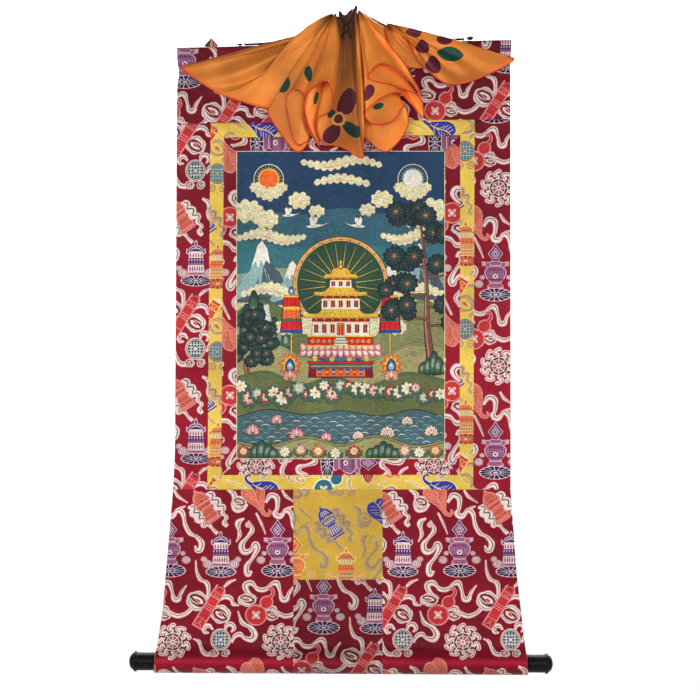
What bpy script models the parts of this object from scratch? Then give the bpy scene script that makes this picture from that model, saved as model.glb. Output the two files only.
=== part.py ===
"""A thangka hanging scroll: brocade mount, picture panel, gathered silk cover, hanging cord, rod.

Metres, +Z up. The front faces -Y and +X is to the viewer's right. The origin is the point that the
hanging cord passes over, so the whole scroll hangs below it. Sizes below are in millimetres, "out" is
the distance towards the viewer, and MM turns them into metres.
"""

import math

import bmesh
import bpy
import numpy as np
from mathutils import Vector

MM = 0.001
GAP = 0.3  # left between pieces that are sewn or laid together

# ---------------------------------------------------------------- driving sizes
CLOTH = 1.6  # brocade with its paper and cotton backing
SILK = 1.0  # the cover, which is one light layer

TOP_EDGE = {"x": -258.0, "z": -50.3, "slope": 0.0239}  # top edge of the mount, higher on the right
TOP_SEAM = {"x": -207.6, "z": -164.1, "slope": 0.0144}  # under the top panel
LOW_SEAM_Z = -713.3  # over the lower panels
DOOR_SEAM_Z = -848.4  # under the door patch

# side edges of the mount, from the top down
LEFT_EDGE = (  # z, x
    (-38, -258.0),
    (-70, -257.5),
    (-88, -255.0),
    (-108, -257.8),
    (-234, -258.8),
    (-654, -261.0),
    (-713, -264.0),
    (-893, -279.5),
    (-955, -289.0),
    (-1000, -293.0),
)
RIGHT_EDGE = (  # z, x
    (-38, 243.8),
    (-77, 242.3),
    (-713, 242.3),
    (-844, 252.0),
    (-955, 265.0),
    (-1000, 268.8),
)

# corners of the framed panels: left and right x, then left and right z, top and bottom
YELLOW_FRAME = {"top": (-207.6, 188.5, -164.1, -158.4), "low": (-212.5, 186.2, -713.3, -713.3)}
RED_FRAME = {"top": (-187.5, 167.1, -185.1, -181.4), "low": (-192.0, 165.9, -691.5, -691.5)}
PICTURE = {"top": (-168.9, 144.0, -205.5, -205.5), "low": (-168.9, 144.0, -667.5, -667.5)}
DOOR_LEFT, DOOR_RIGHT = -83.4, 50.3

# gentle unevenness of the hanging cloth
WAVES = (  # height, wavelength across, wavelength down, phase
    (0.9, 430.0, 1500.0, 0.4),
    (0.6, 260.0, 620.0, 2.1),
    (0.4, 170.0, -350.0, 1.0),
)
WAVE_FADE = 60.0  # the waves die out over this distance from the slat and the rod

SLAT = {"height": 20.0, "thick": 4.0, "rim": 2.5}  # wooden slat in the top hem
SLAT_HEM = 34.0  # the top hem comes down this far behind
ROD_RADIUS = 15.0
ROD_Z = {"x": 0.0, "z": -972.9, "slope": -0.006}  # rod's centre line, lower on the right
ROLL_RADIUS = ROD_RADIUS + GAP + CLOTH / 2  # middle of the cloth on the rod
ROLL_TURN = math.radians(48)  # the cloth meets the rod this far above its front
CREASE_ABOVE = 34.0  # the sleeve's stitched line, above the rod's centre
CAP_PROFILE = (  # distance from the rod's end, radius
    (0.0, 12.4),
    (1.2, 13.4),
    (26.6, 13.4),
    (27.4, 14.6),
    (28.4, 15.2),
    (30.4, 15.2),
    (31.4, 14.4),
    (32.0, 12.6),
    (35.2, 10.8),
    (37.6, 7.4),
    (38.7, 3.6),
)
CAP_LENGTH = 39.0

CORD_RADIUS = 1.8
CORD_ROUTE = (  # x, z, from the left stay over the hanging point to the right one
    (-157, -45.6),
    (-140, -45.0),
    (-118, -43.2),
    (-98, -39.8),
    (-80, -34.2),
    (-58, -24.6),
    (-34, -13.6),
    (-14, -4.9),
    (0, -1.8),
    (14, -5.2),
    (36, -14.6),
    (64, -25.6),
    (96, -33.6),
    (128, -37.6),
    (156, -38.0),
    (173, -37.6),
)
STAYS = {  # where the cord goes through to the slat: x, half width, half height, half depth
    "cord_stay_left": (-163.5, 4.0, 2.0, 2.8),
    "cord_stay_right": (181.5, 5.5, 3.4, 3.4),
}
TIE_RADIUS = 1.9
TIE_ROUTE = (  # x, out, z, from one free end to the other
    (-9.0, 19.0, -41.5),
    (-10.5, 19.8, -36.0),
    (-7.5, 19.6, -31.6),
    (-3.0, 18.6, -29.6),  # under the other end
    (0.6, 20.6, -25.4),
    (-2.0, 23.4, -20.4),  # over the other leg
    (-7.6, 21.6, -14.6),
    (-12.0, 17.4, -9.0),
    (-14.2, 11.0, -2.6),
    (-13.4, 3.2, 2.4),  # over the cord at the left of the throat
    (-11.6, -2.6, 0.6),
    (-8.2, -5.0, -3.4),
    (-1.0, -5.6, -6.4),  # behind the cord
    (6.0, -5.0, -3.0),
    (9.6, -2.2, 3.0),
    (11.0, 4.0, 7.6),  # over the cord at the right
    (10.6, 12.0, 8.4),
    (9.0, 18.2, 4.2),
    (6.4, 20.4, -4.0),
    (2.4, 19.6, -11.5),
    (-1.2, 18.4, -17.6),  # under the other leg
    (-7.0, 20.4, -22.4),
    (-8.2, 22.8, -26.8),
    (-4.2, 23.4, -30.4),  # over the other end
    (1.0, 22.0, -33.4),
    (3.6, 19.6, -39.0),
)

TAB = {"x": -207.0, "z": -46.0, "half_width": 10.4, "half_height": 11.5, "thick": 1.2}

# The silk cover is drawn up in the middle. NECK says where each part of it is gathered.
NECK = {  # x, z, then how far out it starts: a constant and a share of its middle's
    "wing_left": (-27.0, -22.0, 5.2, 0.15),
    "left": (-20.0, 1.0, 3.4, 0.65),
    "throat": (-6.0, 4.3, 1.2, 0.65),
    "peak": (3.5, 16.5, 1.2, 0.65),
    "right": (13.0, 4.2, 1.2, 0.65),
    "wing_right": (53.2, -14.0, 1.2, 0.65),
}
NECK_SPREAD = 0.08  # how far a fold's start leans towards its middle

# One row for each edge or turn of a fold, from the left tip to the right: the gather it hangs from,
# its middle and its hem.
FOLDS = (  # neck, mid x, mid z, mid out, hem x, hem z, hem out
    ("wing_left", -140, -58, 11, -249, -82, 8),
    ("wing_left", -140, -49, 8, -254, -80, 6),
    ("wing_left", -130, -72, 6, -233, -96, 4.5),
    ("wing_left", -112, -87, 7, -194, -120, 4.5),
    ("left", -87, -45, 13, -142, -138, 7),
    ("left", -69, -69, 8, -102, -148, 5),
    ("left", -70, -64, 12, -121, -144, 12),
    ("left", -50, -108, 8, -76, -208, 8.5),
    ("left", -44, -102, 6, -60, -190, 6),
    ("left", -48, -102, 9.5, -76, -198, 12.5),
    ("left", -57, -66, 16, -92, -126, 18),
    ("left", -48, -63, 19, -78, -116, 24),
    ("left", -40, -69, 17, -67, -125, 22),
    ("left", -40, -84, 12, -67, -159, 17),
    ("left", -33, -106, 7, -44, -200, 10),
    ("left", -39, -90, 14, -62, -165, 19),
    ("left", -42, -69, 21, -65, -130, 27),
    ("left", -38, -62, 28, -50, -114, 36),
    ("left", -28, -60, 30, -36, -106, 39),
    ("left", -17, -62, 26, -27, -114, 35),
    ("left", -17, -72, 20, -27, -146, 27),
    ("left", -33, -87, 14, -48, -163, 20.5),
    ("throat", -21, -106, 9, -38, -195, 15),
    ("throat", -9, -106, 7.5, -12, -201, 17),
    ("peak", 8, -111, 9, 20, -218, 20),
    ("right", 19, -99, 22, 22, -189, 25),
    ("right", 26, -105, 8, 28, -190, 12),
    ("right", 38, -111, 9.5, 55, -208, 14),
    ("right", 52, -93, 9.5, 88, -168, 13),
    ("right", 51, -78, 12, 82, -140, 15),
    ("right", 40, -87, 16, 63, -164, 21),
    ("right", 27, -92, 18, 34, -167, 24),
    ("right", 22, -84, 21, 24, -153, 26),
    ("right", 32, -74, 23, 45, -132, 30),
    ("right", 44, -68, 22, 71, -122, 30),
    ("right", 57, -72, 16, 93, -138, 20),
    ("right", 63, -78, 14, 110, -158, 15),
    ("right", 60, -66, 21, 106, -130, 25),
    ("right", 40, -60, 26, 66, -112, 33),
    ("right", 22, -56, 27, 28, -100, 34),
    ("right", 28, -45, 31, 46, -81, 40),
    ("right", 46, -51, 29, 82, -99, 38),
    ("right", 58, -62, 26, 109, -129, 30),
    ("right", 50, -42, 27, 82, -80, 30),
    ("right", 36, -22, 23, 56, -45, 28),
    ("right", 30, -8, 14, 52, -23, 17),
    ("wing_right", 58, -46, 8, 78, -78, 9),
    ("wing_right", 114, -44, 7, 182, -72, 6),
    ("wing_right", 147, -37, 8.5, 247, -68, 6.5),
    ("wing_right", 130, -54, 10, 208, -92, 7),
    ("wing_right", 104, -54, 13, 150, -107, 12),
    ("wing_right", 88, -42, 13, 112, -81, 13),
    ("wing_right", 75, -26, 12, 84, -40, 13),
)
FOLD_STEPS = 112  # strips across the cover
DROP_STEPS = 16  # strips from the neck to the hem

COLOURS = {  # red, green, blue, roughness
    "red": (0.42, 0.015, 0.04, 0.55),
    "yellow": (0.72, 0.45, 0.08, 0.5),
    "picture": (0.05, 0.16, 0.18, 0.7),
    "silk": (0.80, 0.32, 0.06, 0.45),
    "cord": (0.012, 0.011, 0.012, 0.7),
    "wood": (0.30, 0.18, 0.09, 0.6),
    "cap": (0.012, 0.011, 0.011, 0.35),
}


# ---------------------------------------------------------------- scene and materials
def clear_scene():
    for old in list(bpy.data.objects):
        bpy.data.objects.remove(old, do_unlink=True)


def finish(name):
    """The Principled material of that colour, made once."""
    if name in bpy.data.materials:
        return bpy.data.materials[name]
    red, green, blue, rough = COLOURS[name]
    material = bpy.data.materials.new(name)
    material.use_nodes = True
    shader = material.node_tree.nodes["Principled BSDF"]
    shader.inputs["Base Color"].default_value = (red, green, blue, 1.0)
    shader.inputs["Roughness"].default_value = rough
    shader.inputs["Metallic"].default_value = 0.0
    return material


def place(name, data, colour):
    data.materials.append(finish(colour))
    piece = bpy.data.objects.new(name, data)
    PARTS.objects.link(piece)
    return piece


# ---------------------------------------------------------------- lines and surfaces
def along(line, x):
    return line["z"] + (x - line["x"]) * line["slope"]


def edge_x(edge, z):
    """The x of a side edge at that height."""
    heights = [-row[0] for row in edge]
    return float(np.interp(-z, heights, [row[1] for row in edge]))


def wave(x, z):
    """How far out the hanging cloth stands there."""
    below_slat = along(TOP_EDGE, x) - SLAT_HEM - z
    above_rod = z - along(ROD_Z, x) - CREASE_ABOVE
    near = max(0.0, min(1.0, below_slat / WAVE_FADE, above_rod / WAVE_FADE))
    height = sum(
        h * math.sin(2 * math.pi * (x / wide + z / deep) + phase) for h, wide, deep, phase in WAVES
    )
    return near * near * (3 - 2 * near) * height


def smooth_path(points, count):
    """Evenly spaced points on one smooth curve through the given ones."""
    points = np.array(points, float)
    knots = np.concatenate([[0], np.cumsum(np.linalg.norm(np.diff(points, axis=0), axis=1) ** 0.5)])
    fine = catmull_rom(points, knots, np.linspace(0, knots[-1], 40 * len(points)))
    run = np.concatenate([[0], np.cumsum(np.linalg.norm(np.diff(fine, axis=0), axis=1))])
    even = np.linspace(0, run[-1], count)
    return np.stack([np.interp(even, run, fine[:, k]) for k in range(points.shape[1])], axis=1)


def catmull_rom(rows, knots, at):
    """Rows read between their knots on a centripetal Catmull-Rom curve."""
    first = 2 * rows[0] - rows[1]
    last = 2 * rows[-1] - rows[-2]
    rows = np.vstack([first, rows, last])
    knots = np.concatenate([[2 * knots[0] - knots[1]], knots, [2 * knots[-1] - knots[-2]]])
    i = np.clip(np.searchsorted(knots, at, side="right") - 1, 1, len(rows) - 3)
    t = at[:, None]
    k0, k1, k2, k3 = (knots[i + step][:, None] for step in (-1, 0, 1, 2))
    p0, p1, p2, p3 = (rows[i + step] for step in (-1, 0, 1, 2))
    a1 = ((k1 - t) * p0 + (t - k0) * p1) / (k1 - k0)
    a2 = ((k2 - t) * p1 + (t - k1) * p2) / (k2 - k1)
    a3 = ((k3 - t) * p2 + (t - k2) * p3) / (k3 - k2)
    b1 = ((k2 - t) * a1 + (t - k0) * a2) / (k2 - k0)
    b2 = ((k3 - t) * a2 + (t - k1) * a3) / (k3 - k1)
    return ((k2 - t) * b1 + (t - k1) * b2) / (k2 - k1)


def sheet(name, surface, across, down, thick, colour):
    """A closed sheet of cloth: a grid laid on surface(u, v), which gives x, out, z, then thickened."""
    bm = bmesh.new()
    bmesh.ops.create_grid(bm, x_segments=across, y_segments=down, size=0.5)
    for vert in bm.verts:
        x, out, z = surface(vert.co.x + 0.5, 0.5 - vert.co.y)
        vert.co = Vector((x, -out, z)) * MM
    mesh = bpy.data.meshes.new(name)
    bm.to_mesh(mesh)
    bm.free()
    piece = place(name, mesh, colour)
    thickness = piece.modifiers.new("thickness", "SOLIDIFY")
    thickness.thickness = thick * MM
    thickness.offset = 0.0
    mesh.shade_smooth()
    return piece


# ---------------------------------------------------------------- the mount
def corners(frame):
    """A frame's corners: top left, top right, low right, low left."""
    left, right, left_z, right_z = frame["top"]
    low_left, low_right, low_left_z, low_right_z = frame["low"]
    places = (left, left_z), (right, right_z), (low_right, low_right_z), (low_left, low_left_z)
    return [np.array(place) for place in places]


def drawn_in(quad, by):
    """A four-sided outline with each side moved in by that much."""
    moved = []
    for k in range(4):
        here, back, ahead = quad[k], quad[k - 1], quad[(k + 1) % 4]
        first = (here - back) / np.linalg.norm(here - back)
        second = (ahead - here) / np.linalg.norm(ahead - here)
        inward = [np.array((d[1], -d[0])) for d in (first, second)]
        lean = inward[0] + inward[1]
        moved.append(here + lean * by / (lean @ inward[0]))
    return moved


def flat_panel(name, quad, across, down, colour):
    """A panel sewn in between seams: a four-sided outline on the hanging cloth's surface."""
    top_left, top_right, low_right, low_left = drawn_in(quad, GAP / 2)

    def surface(u, v):
        x, z = (top_left * (1 - u) + top_right * u) * (1 - v) + (low_left * (1 - u) + low_right * u) * v
        return x, wave(x, z), z

    return sheet(name, surface, across, down, CLOTH, colour)


def frame_strips(name, outer, inner, colour):
    """Four strips with mitred corners between two frames."""
    outside, inside = corners(outer), corners(inner)
    for k, side in enumerate(("top", "right", "low", "left")):
        after = (k + 1) % 4
        quad = [outside[k], outside[after], inside[after], inside[k]]
        flat_panel(f"{name}_{side}", quad, 14 if k % 2 == 0 else 18, 1, colour)


def side_panel(name, edge, frame_side):
    """A full-length side of the mount, between its outer edge and the yellow frame."""
    outer_left = edge is LEFT_EDGE

    def surface(u, v):
        inner_x = frame_side[0] * (1 - v) + frame_side[1] * v
        z_top = along(TOP_SEAM, inner_x) - GAP / 2
        z = z_top * (1 - v) + (LOW_SEAM_Z + GAP / 2) * v
        outer_x = edge_x(edge, z)
        left, right = (outer_x, inner_x - GAP / 2) if outer_left else (inner_x + GAP / 2, outer_x)
        x = left * (1 - u) + right * u
        z += (along(TOP_SEAM, x) - along(TOP_SEAM, inner_x)) * (1 - v)
        return x, wave(x, z), z

    return sheet(name, surface, 3, 20, CLOTH, "red")


def arc(centre_z, radius, start, stop, steps):
    """out, z along an arc. Angles start at the front and go up."""
    angles = np.linspace(start, stop, steps + 1)
    return [(radius * math.cos(a), centre_z + radius * math.sin(a)) for a in angles]


def bend(start, start_way, stop, stop_way, steps):
    """out, z along a smooth bend between two places, without its ends."""
    start, stop = np.array(start), np.array(stop)
    reach = np.linalg.norm(stop - start)
    points = []
    for t in np.linspace(0, 1, steps + 1)[1:-1]:
        straight = start * (1 + 2 * t) * (1 - t) ** 2 + stop * t * t * (3 - 2 * t)
        leave = np.array(start_way) * reach * t * (1 - t) ** 2
        arrive = np.array(stop_way) * reach * t * t * (1 - t)
        points.append(tuple(straight + leave - arrive))
    return points


def roll_section(x, z_top):
    """out, z down a lower panel: flat, in at the crease, round the rod and up behind to the stitching."""
    centre = along(ROD_Z, x)
    crease = centre + CREASE_ABOVE
    flat = [(wave(x, z), z) for z in np.linspace(z_top, crease, 10)]
    meets = ROLL_RADIUS * math.cos(ROLL_TURN), centre + ROLL_RADIUS * math.sin(ROLL_TURN)
    way = math.sin(ROLL_TURN), -math.cos(ROLL_TURN)
    into = bend(flat[-1], (0, -1), meets, way, 4)
    around = arc(centre, ROLL_RADIUS, ROLL_TURN, -math.pi - ROLL_TURN, 18)
    back = -(CLOTH + GAP), crease
    up = bend(around[-1], (way[0], -way[1]), back, (0, 1), 4)
    return flat + into + around + up + [back, (back[0], crease + 12.0)]


def lower_panel(name, left, right, z_top, across):
    """One of the lower panels, whose bottom end is the rod's sleeve. left and right give x at a height."""
    rows = len(roll_section(0.0, z_top)) - 1

    def surface(u, v):
        row = round(v * rows)
        out, z = roll_section(0.0, z_top)[row]
        x = (left(z) + GAP / 2) * (1 - u) + (right(z) - GAP / 2) * u
        out, z = roll_section(x, z_top)[row]
        return x, out, z

    return sheet(name, surface, across, rows, CLOTH, "red")


def top_section(x):
    """out, z up the top panel: flat from the seam, over the slat and down behind it."""
    reach = SLAT["thick"] / 2 + GAP + CLOTH / 2
    centre = along(TOP_EDGE, x) - reach - CLOTH / 2
    foot = centre - SLAT["height"]
    seam = along(TOP_SEAM, x) + GAP / 2
    turn = foot - 10.0
    flat = [(wave(x, z), z) for z in np.linspace(seam, turn, 6)]
    rise = bend(flat[-1], (0, 1), (reach, foot + 4.0), (0, 1), 4) + [(reach, foot + 4.0)]
    over = arc(centre, reach, 0.0, math.pi, 8)
    behind = -(CLOTH + GAP)
    fall = bend((-reach, foot + 4.0), (0, -1), (behind, turn), (0, -1), 4)
    hem = (behind, along(TOP_EDGE, x) - SLAT_HEM - 6.0)
    return flat + rise + over + [(-reach, foot + 4.0)] + fall + [(behind, turn), hem]


def top_panel():
    rows = len(top_section(0.0)) - 1

    def surface(u, v):
        row = round(v * rows)
        out, z = top_section(0.0)[row]
        left, right = edge_x(LEFT_EDGE, z), edge_x(RIGHT_EDGE, z)
        x = left * (1 - u) + right * u
        out, z = top_section(x)[row]
        return x, out, z

    return sheet("top_panel", surface, 14, rows, CLOTH, "red")


def mount():
    top_panel()
    yellow = corners(YELLOW_FRAME)
    side_panel("side_left", LEFT_EDGE, (yellow[0][0], yellow[3][0]))
    side_panel("side_right", RIGHT_EDGE, (yellow[1][0], yellow[2][0]))
    frame_strips("yellow", YELLOW_FRAME, RED_FRAME, "yellow")
    frame_strips("inner_red", RED_FRAME, PICTURE, "red")
    flat_panel("picture_panel", corners(PICTURE), 14, 20, "picture")
    low = LOW_SEAM_Z - GAP / 2
    lower_panel("lower_left", lambda z: edge_x(LEFT_EDGE, z), lambda z: DOOR_LEFT, low, 6)
    lower_panel("lower_centre", lambda z: DOOR_LEFT, lambda z: DOOR_RIGHT, DOOR_SEAM_Z - GAP / 2, 5)
    lower_panel("lower_right", lambda z: DOOR_RIGHT, lambda z: edge_x(RIGHT_EDGE, z), low, 6)
    door = {
        "top": (DOOR_LEFT, DOOR_RIGHT, LOW_SEAM_Z, LOW_SEAM_Z),
        "low": (DOOR_LEFT, DOOR_RIGHT, DOOR_SEAM_Z, DOOR_SEAM_Z),
    }
    flat_panel("door_patch", corners(door), 5, 5, "yellow")


# ---------------------------------------------------------------- slat, rod, caps and tab
def slat():
    """The wooden slat in the top hem, which the cord is fastened to."""
    left = edge_x(LEFT_EDGE, TOP_EDGE["z"]) + 2.0
    right = edge_x(RIGHT_EDGE, TOP_EDGE["z"]) - 2.0
    middle = (left + right) / 2
    length = (right - left) / math.cos(math.atan(TOP_EDGE["slope"]))
    centre_z = along(TOP_EDGE, middle) - CLOTH - GAP - SLAT["thick"] / 2 - SLAT["height"] / 2 + 1.0
    bm = bmesh.new()
    bmesh.ops.create_cube(bm, size=1.0)
    bmesh.ops.scale(bm, vec=Vector((length, SLAT["thick"], SLAT["height"])) * MM, verts=bm.verts)
    mesh = bpy.data.meshes.new("top_slat")
    bm.to_mesh(mesh)
    bm.free()
    piece = place("top_slat", mesh, "wood")
    piece.location = Vector((middle, 0.0, centre_z)) * MM
    piece.rotation_euler = (0.0, -math.atan(TOP_EDGE["slope"]), 0.0)
    soft = piece.modifiers.new("rounded", "BEVEL")
    soft.width = SLAT["thick"] * 0.3 * MM
    soft.segments = 2
    return piece


def rod_place(x):
    return Vector((x, 0.0, along(ROD_Z, x))) * MM


def rod():
    """The round rod that weights the bottom, and lies in the sleeve of the lower panels."""
    left, right = edge_x(LEFT_EDGE, ROD_Z["z"]), edge_x(RIGHT_EDGE, ROD_Z["z"])
    bm = bmesh.new()
    radius = ROD_RADIUS * MM
    length = (right - left) * MM
    bmesh.ops.create_cone(
        bm, cap_ends=True, segments=32, radius1=radius, radius2=radius, depth=length
    )
    mesh = bpy.data.meshes.new("bottom_rod")
    bm.to_mesh(mesh)
    bm.free()
    piece = place("bottom_rod", mesh, "wood")
    piece.location = rod_place((left + right) / 2)
    piece.rotation_euler = (0.0, math.pi / 2 - math.atan(ROD_Z["slope"]), 0.0)
    cap("cap_left", left - GAP, -1)
    cap("cap_right", right + GAP, 1)


def cap(name, x, side):
    """A turned black end cap: barrel, ring and dome, from the rod's end outwards."""
    rim = [Vector((0.0, 0.0, 0.0))]
    rim += [Vector((radius, 0.0, -reach)) for reach, radius in CAP_PROFILE]
    rim += [Vector((0.0, 0.0, -CAP_LENGTH))]
    mesh = bpy.data.meshes.new(name)
    mesh.from_pydata([point * MM for point in rim], [(k, k + 1) for k in range(len(rim) - 1)], [])
    piece = place(name, mesh, "cap")
    turned = piece.modifiers.new("turned", "SCREW")
    turned.axis = "Z"
    turned.steps = turned.render_steps = 28
    turned.use_merge_vertices = True
    turned.merge_threshold = 0.00001
    turned.use_smooth_shade = True
    piece.location = rod_place(x)
    tilt = math.atan(ROD_Z["slope"])
    piece.rotation_euler = (0.0, -side * math.pi / 2 - tilt, 0.0)
    return piece


def tab():
    """The small diamond of brocade sewn behind the top edge."""
    half = TAB["half_width"], TAB["half_height"]
    outline = bpy.data.curves.new("brocade_tab", "CURVE")
    outline.dimensions = "2D"
    outline.fill_mode = "BOTH"
    outline.extrude = TAB["thick"] / 2 * MM
    spline = outline.splines.new("POLY")
    spline.points.add(3)
    for k, point in enumerate(spline.points):
        turn = k * math.pi / 2
        point.co = (half[0] * math.cos(turn) * MM, half[1] * math.sin(turn) * MM, 0.0, 1.0)
    spline.use_cyclic_u = True
    piece = place("brocade_tab", outline, "red")
    behind = SLAT["thick"] / 2 + GAP + CLOTH + GAP + TAB["thick"] / 2
    piece.location = Vector((TAB["x"], behind, TAB["z"])) * MM
    piece.rotation_euler = (math.pi / 2, 0.0, 0.0)
    return piece


# ---------------------------------------------------------------- cord, stays and tie
def tube(name, path, radius, colour):
    """A round cord along a path of x, out, z."""
    line = bpy.data.curves.new(name, "CURVE")
    line.dimensions = "3D"
    line.bevel_depth = radius * MM
    line.bevel_resolution = 2
    line.use_fill_caps = True
    spline = line.splines.new("POLY")
    spline.points.add(len(path) - 1)
    for point, (x, out, z) in zip(spline.points, path):
        point.co = (x * MM, -out * MM, z * MM, 1.0)
    return place(name, line, colour)


def cord():
    route = [(x, 0.0, z) for x, z in CORD_ROUTE]
    tube("hanging_cord", smooth_path(route, 46), CORD_RADIUS, "cord")
    for name, (x, half_width, half_height, half_depth) in STAYS.items():
        bm = bmesh.new()
        bmesh.ops.create_uvsphere(bm, u_segments=14, v_segments=8, radius=MM)
        size = Vector((half_width, half_depth, half_height))
        bmesh.ops.scale(bm, vec=size, verts=bm.verts)
        mesh = bpy.data.meshes.new(name)
        bm.to_mesh(mesh)
        bm.free()
        mesh.shade_smooth()
        piece = place(name, mesh, "cord")
        piece.location = Vector((x, 0.0, along(TOP_EDGE, x) + GAP + half_height)) * MM


def tie():
    """The tie that draws the silk up: round the hanging cord, with a half knot in the throat."""
    tube("cover_tie", smooth_path(TIE_ROUTE, 64), TIE_RADIUS, "cord")


# ---------------------------------------------------------------- the silk cover
def fold_lines():
    """For each strip across the cover, its neck, middle and hem: x, out, z of each."""
    rows = []
    for neck, mid_x, mid_z, mid_out, hem_x, hem_z, hem_out in FOLDS:
        neck_x, neck_z, out_least, out_share = NECK[neck]
        start = (
            neck_x + (mid_x - neck_x) * NECK_SPREAD,
            out_least + out_share * mid_out,
            neck_z + (mid_z - neck_z) * NECK_SPREAD,
        )
        rows.append((*start, mid_x, mid_out, mid_z, hem_x, hem_out, hem_z))
    rows = np.array(rows, float)
    apart = np.linalg.norm(np.diff(rows[:, 3:], axis=0), axis=1)
    knots = np.concatenate([[0], np.cumsum(apart**0.5)])
    return catmull_rom(rows, knots, np.linspace(0, knots[-1], FOLD_STEPS + 1))


def cover():
    """The silk cover as it hangs: wings to both sides and fluted falls in the middle."""
    lines = fold_lines()

    def surface(u, v):
        line = lines[round(u * FOLD_STEPS)]
        neck, middle, hem = line[:3], line[3:6], line[6:]
        return neck * (1 - v) * (1 - 2 * v) + middle * 4 * v * (1 - v) + hem * v * (2 * v - 1)

    return sheet("silk_cover", surface, FOLD_STEPS, DROP_STEPS, SILK, "silk")


clear_scene()
PARTS = bpy.data.collections.new("thangka_scroll")
bpy.context.scene.collection.children.link(PARTS)
mount()
slat()
rod()
tab()
cord()
tie()
cover()
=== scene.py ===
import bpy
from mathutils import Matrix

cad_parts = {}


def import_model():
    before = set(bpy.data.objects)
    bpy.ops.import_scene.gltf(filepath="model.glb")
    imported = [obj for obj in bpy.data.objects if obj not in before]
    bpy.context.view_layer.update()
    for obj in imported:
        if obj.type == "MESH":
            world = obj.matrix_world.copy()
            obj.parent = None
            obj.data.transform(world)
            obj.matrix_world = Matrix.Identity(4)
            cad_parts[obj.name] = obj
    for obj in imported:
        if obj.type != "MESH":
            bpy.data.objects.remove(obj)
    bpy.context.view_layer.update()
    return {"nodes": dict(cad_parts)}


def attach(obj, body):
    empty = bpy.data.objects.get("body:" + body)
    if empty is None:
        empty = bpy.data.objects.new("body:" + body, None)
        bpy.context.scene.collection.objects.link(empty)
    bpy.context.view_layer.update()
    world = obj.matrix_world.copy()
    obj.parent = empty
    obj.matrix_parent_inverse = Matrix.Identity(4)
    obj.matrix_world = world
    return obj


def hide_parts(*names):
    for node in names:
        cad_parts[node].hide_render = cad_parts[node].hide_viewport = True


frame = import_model()

import math

import bpy
import numpy as np
from mathutils import Vector
from mathutils.geometry import delaunay_2d_cdt

# ------------------------------------------------------------------ the hanging cord
# One black cord, three yarns twisted together, from a stitched stay near each end of the top edge up
# over the nail. It is held taut by the scroll's weight, and the gathered silk hides most of it.
MM = 0.001  # sizes are in millimetres, and "out" is the distance towards the viewer
CORD_RADIUS = 1.8
YARN_OFF, YARN_THICK = 0.46, 0.56  # in a cord's radius: a yarn's distance from its middle, a yarn's radius
CORD_ROUTE = (  # x, z
    (-157, -45.6), (-140, -45.0), (-118, -43.2), (-98, -39.8), (-80, -34.2), (-58, -24.6),
    (-34, -13.6), (-14, -4.9), (0, -1.8), (14, -5.2), (36, -14.6), (64, -25.6), (96, -33.6),
    (128, -37.6), (156, -38.0), (173, -37.6),
)


def between(rows, knots, at):
    """Rows read between their knots on a centripetal Catmull-Rom curve."""
    rows = np.vstack([2 * rows[0] - rows[1], rows, 2 * rows[-1] - rows[-2]])
    knots = np.concatenate([[2 * knots[0] - knots[1]], knots, [2 * knots[-1] - knots[-2]]])
    i = np.clip(np.searchsorted(knots, at, side="right") - 1, 1, len(rows) - 3)
    t = np.asarray(at)[:, None]
    k0, k1, k2, k3 = (knots[i + step][:, None] for step in (-1, 0, 1, 2))
    p0, p1, p2, p3 = (rows[i + step] for step in (-1, 0, 1, 2))
    a1 = ((k1 - t) * p0 + (t - k0) * p1) / (k1 - k0)
    a2 = ((k2 - t) * p1 + (t - k1) * p2) / (k2 - k1)
    a3 = ((k3 - t) * p2 + (t - k2) * p3) / (k3 - k2)
    b1 = ((k2 - t) * a1 + (t - k0) * a2) / (k2 - k0)
    b2 = ((k3 - t) * a2 + (t - k1) * a3) / (k3 - k1)
    return ((k2 - t) * b1 + (t - k1) * b2) / (k2 - k1)


def run_along(points, power=1.0):
    """The length along a line up to each of its points, each step raised to that power."""
    return np.concatenate([[0], np.cumsum(np.linalg.norm(np.diff(points, axis=0), axis=1) ** power)])


def even_path(points, count):
    """Evenly spaced points on one smooth curve through the given ones."""
    points = np.array(points, float)
    knots = run_along(points, 0.5)
    fine = between(points, knots, np.linspace(0, knots[-1], 40 * len(points)))
    run = run_along(fine)
    even = np.linspace(0, run[-1], count)
    return np.stack([np.interp(even, run, fine[:, k]) for k in range(3)], axis=1)


def world(points):
    """x, out, z in millimetres to metres in the scroll's frame."""
    return np.asarray(points, float) * (MM, -MM, MM)


def new_piece(name, verts, faces, *materials):
    mesh = bpy.data.meshes.new(name)
    mesh.from_pydata([tuple(v) for v in verts], [], [tuple(f) for f in faces])
    piece = bpy.data.objects.new(name, mesh)
    bpy.context.scene.collection.objects.link(piece)
    for material in materials:
        mesh.materials.append(material)
    mesh.shade_smooth()
    return piece


def frames_along(path):
    """For each point of a path, two directions square to it, with no sudden twist."""
    ways = np.gradient(path, axis=0)
    ways /= np.linalg.norm(ways, axis=1)[:, None]
    side = np.cross(ways[0], (0.0, 0.0, 1.0))
    if np.linalg.norm(side) < 0.1:
        side = np.cross(ways[0], (1.0, 0.0, 0.0))
    sides = []
    for way in ways:
        side = side - way * (side @ way)
        side = side / np.linalg.norm(side)
        sides.append(side)
    sides = np.array(sides)
    return sides, np.cross(ways, sides)


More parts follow.
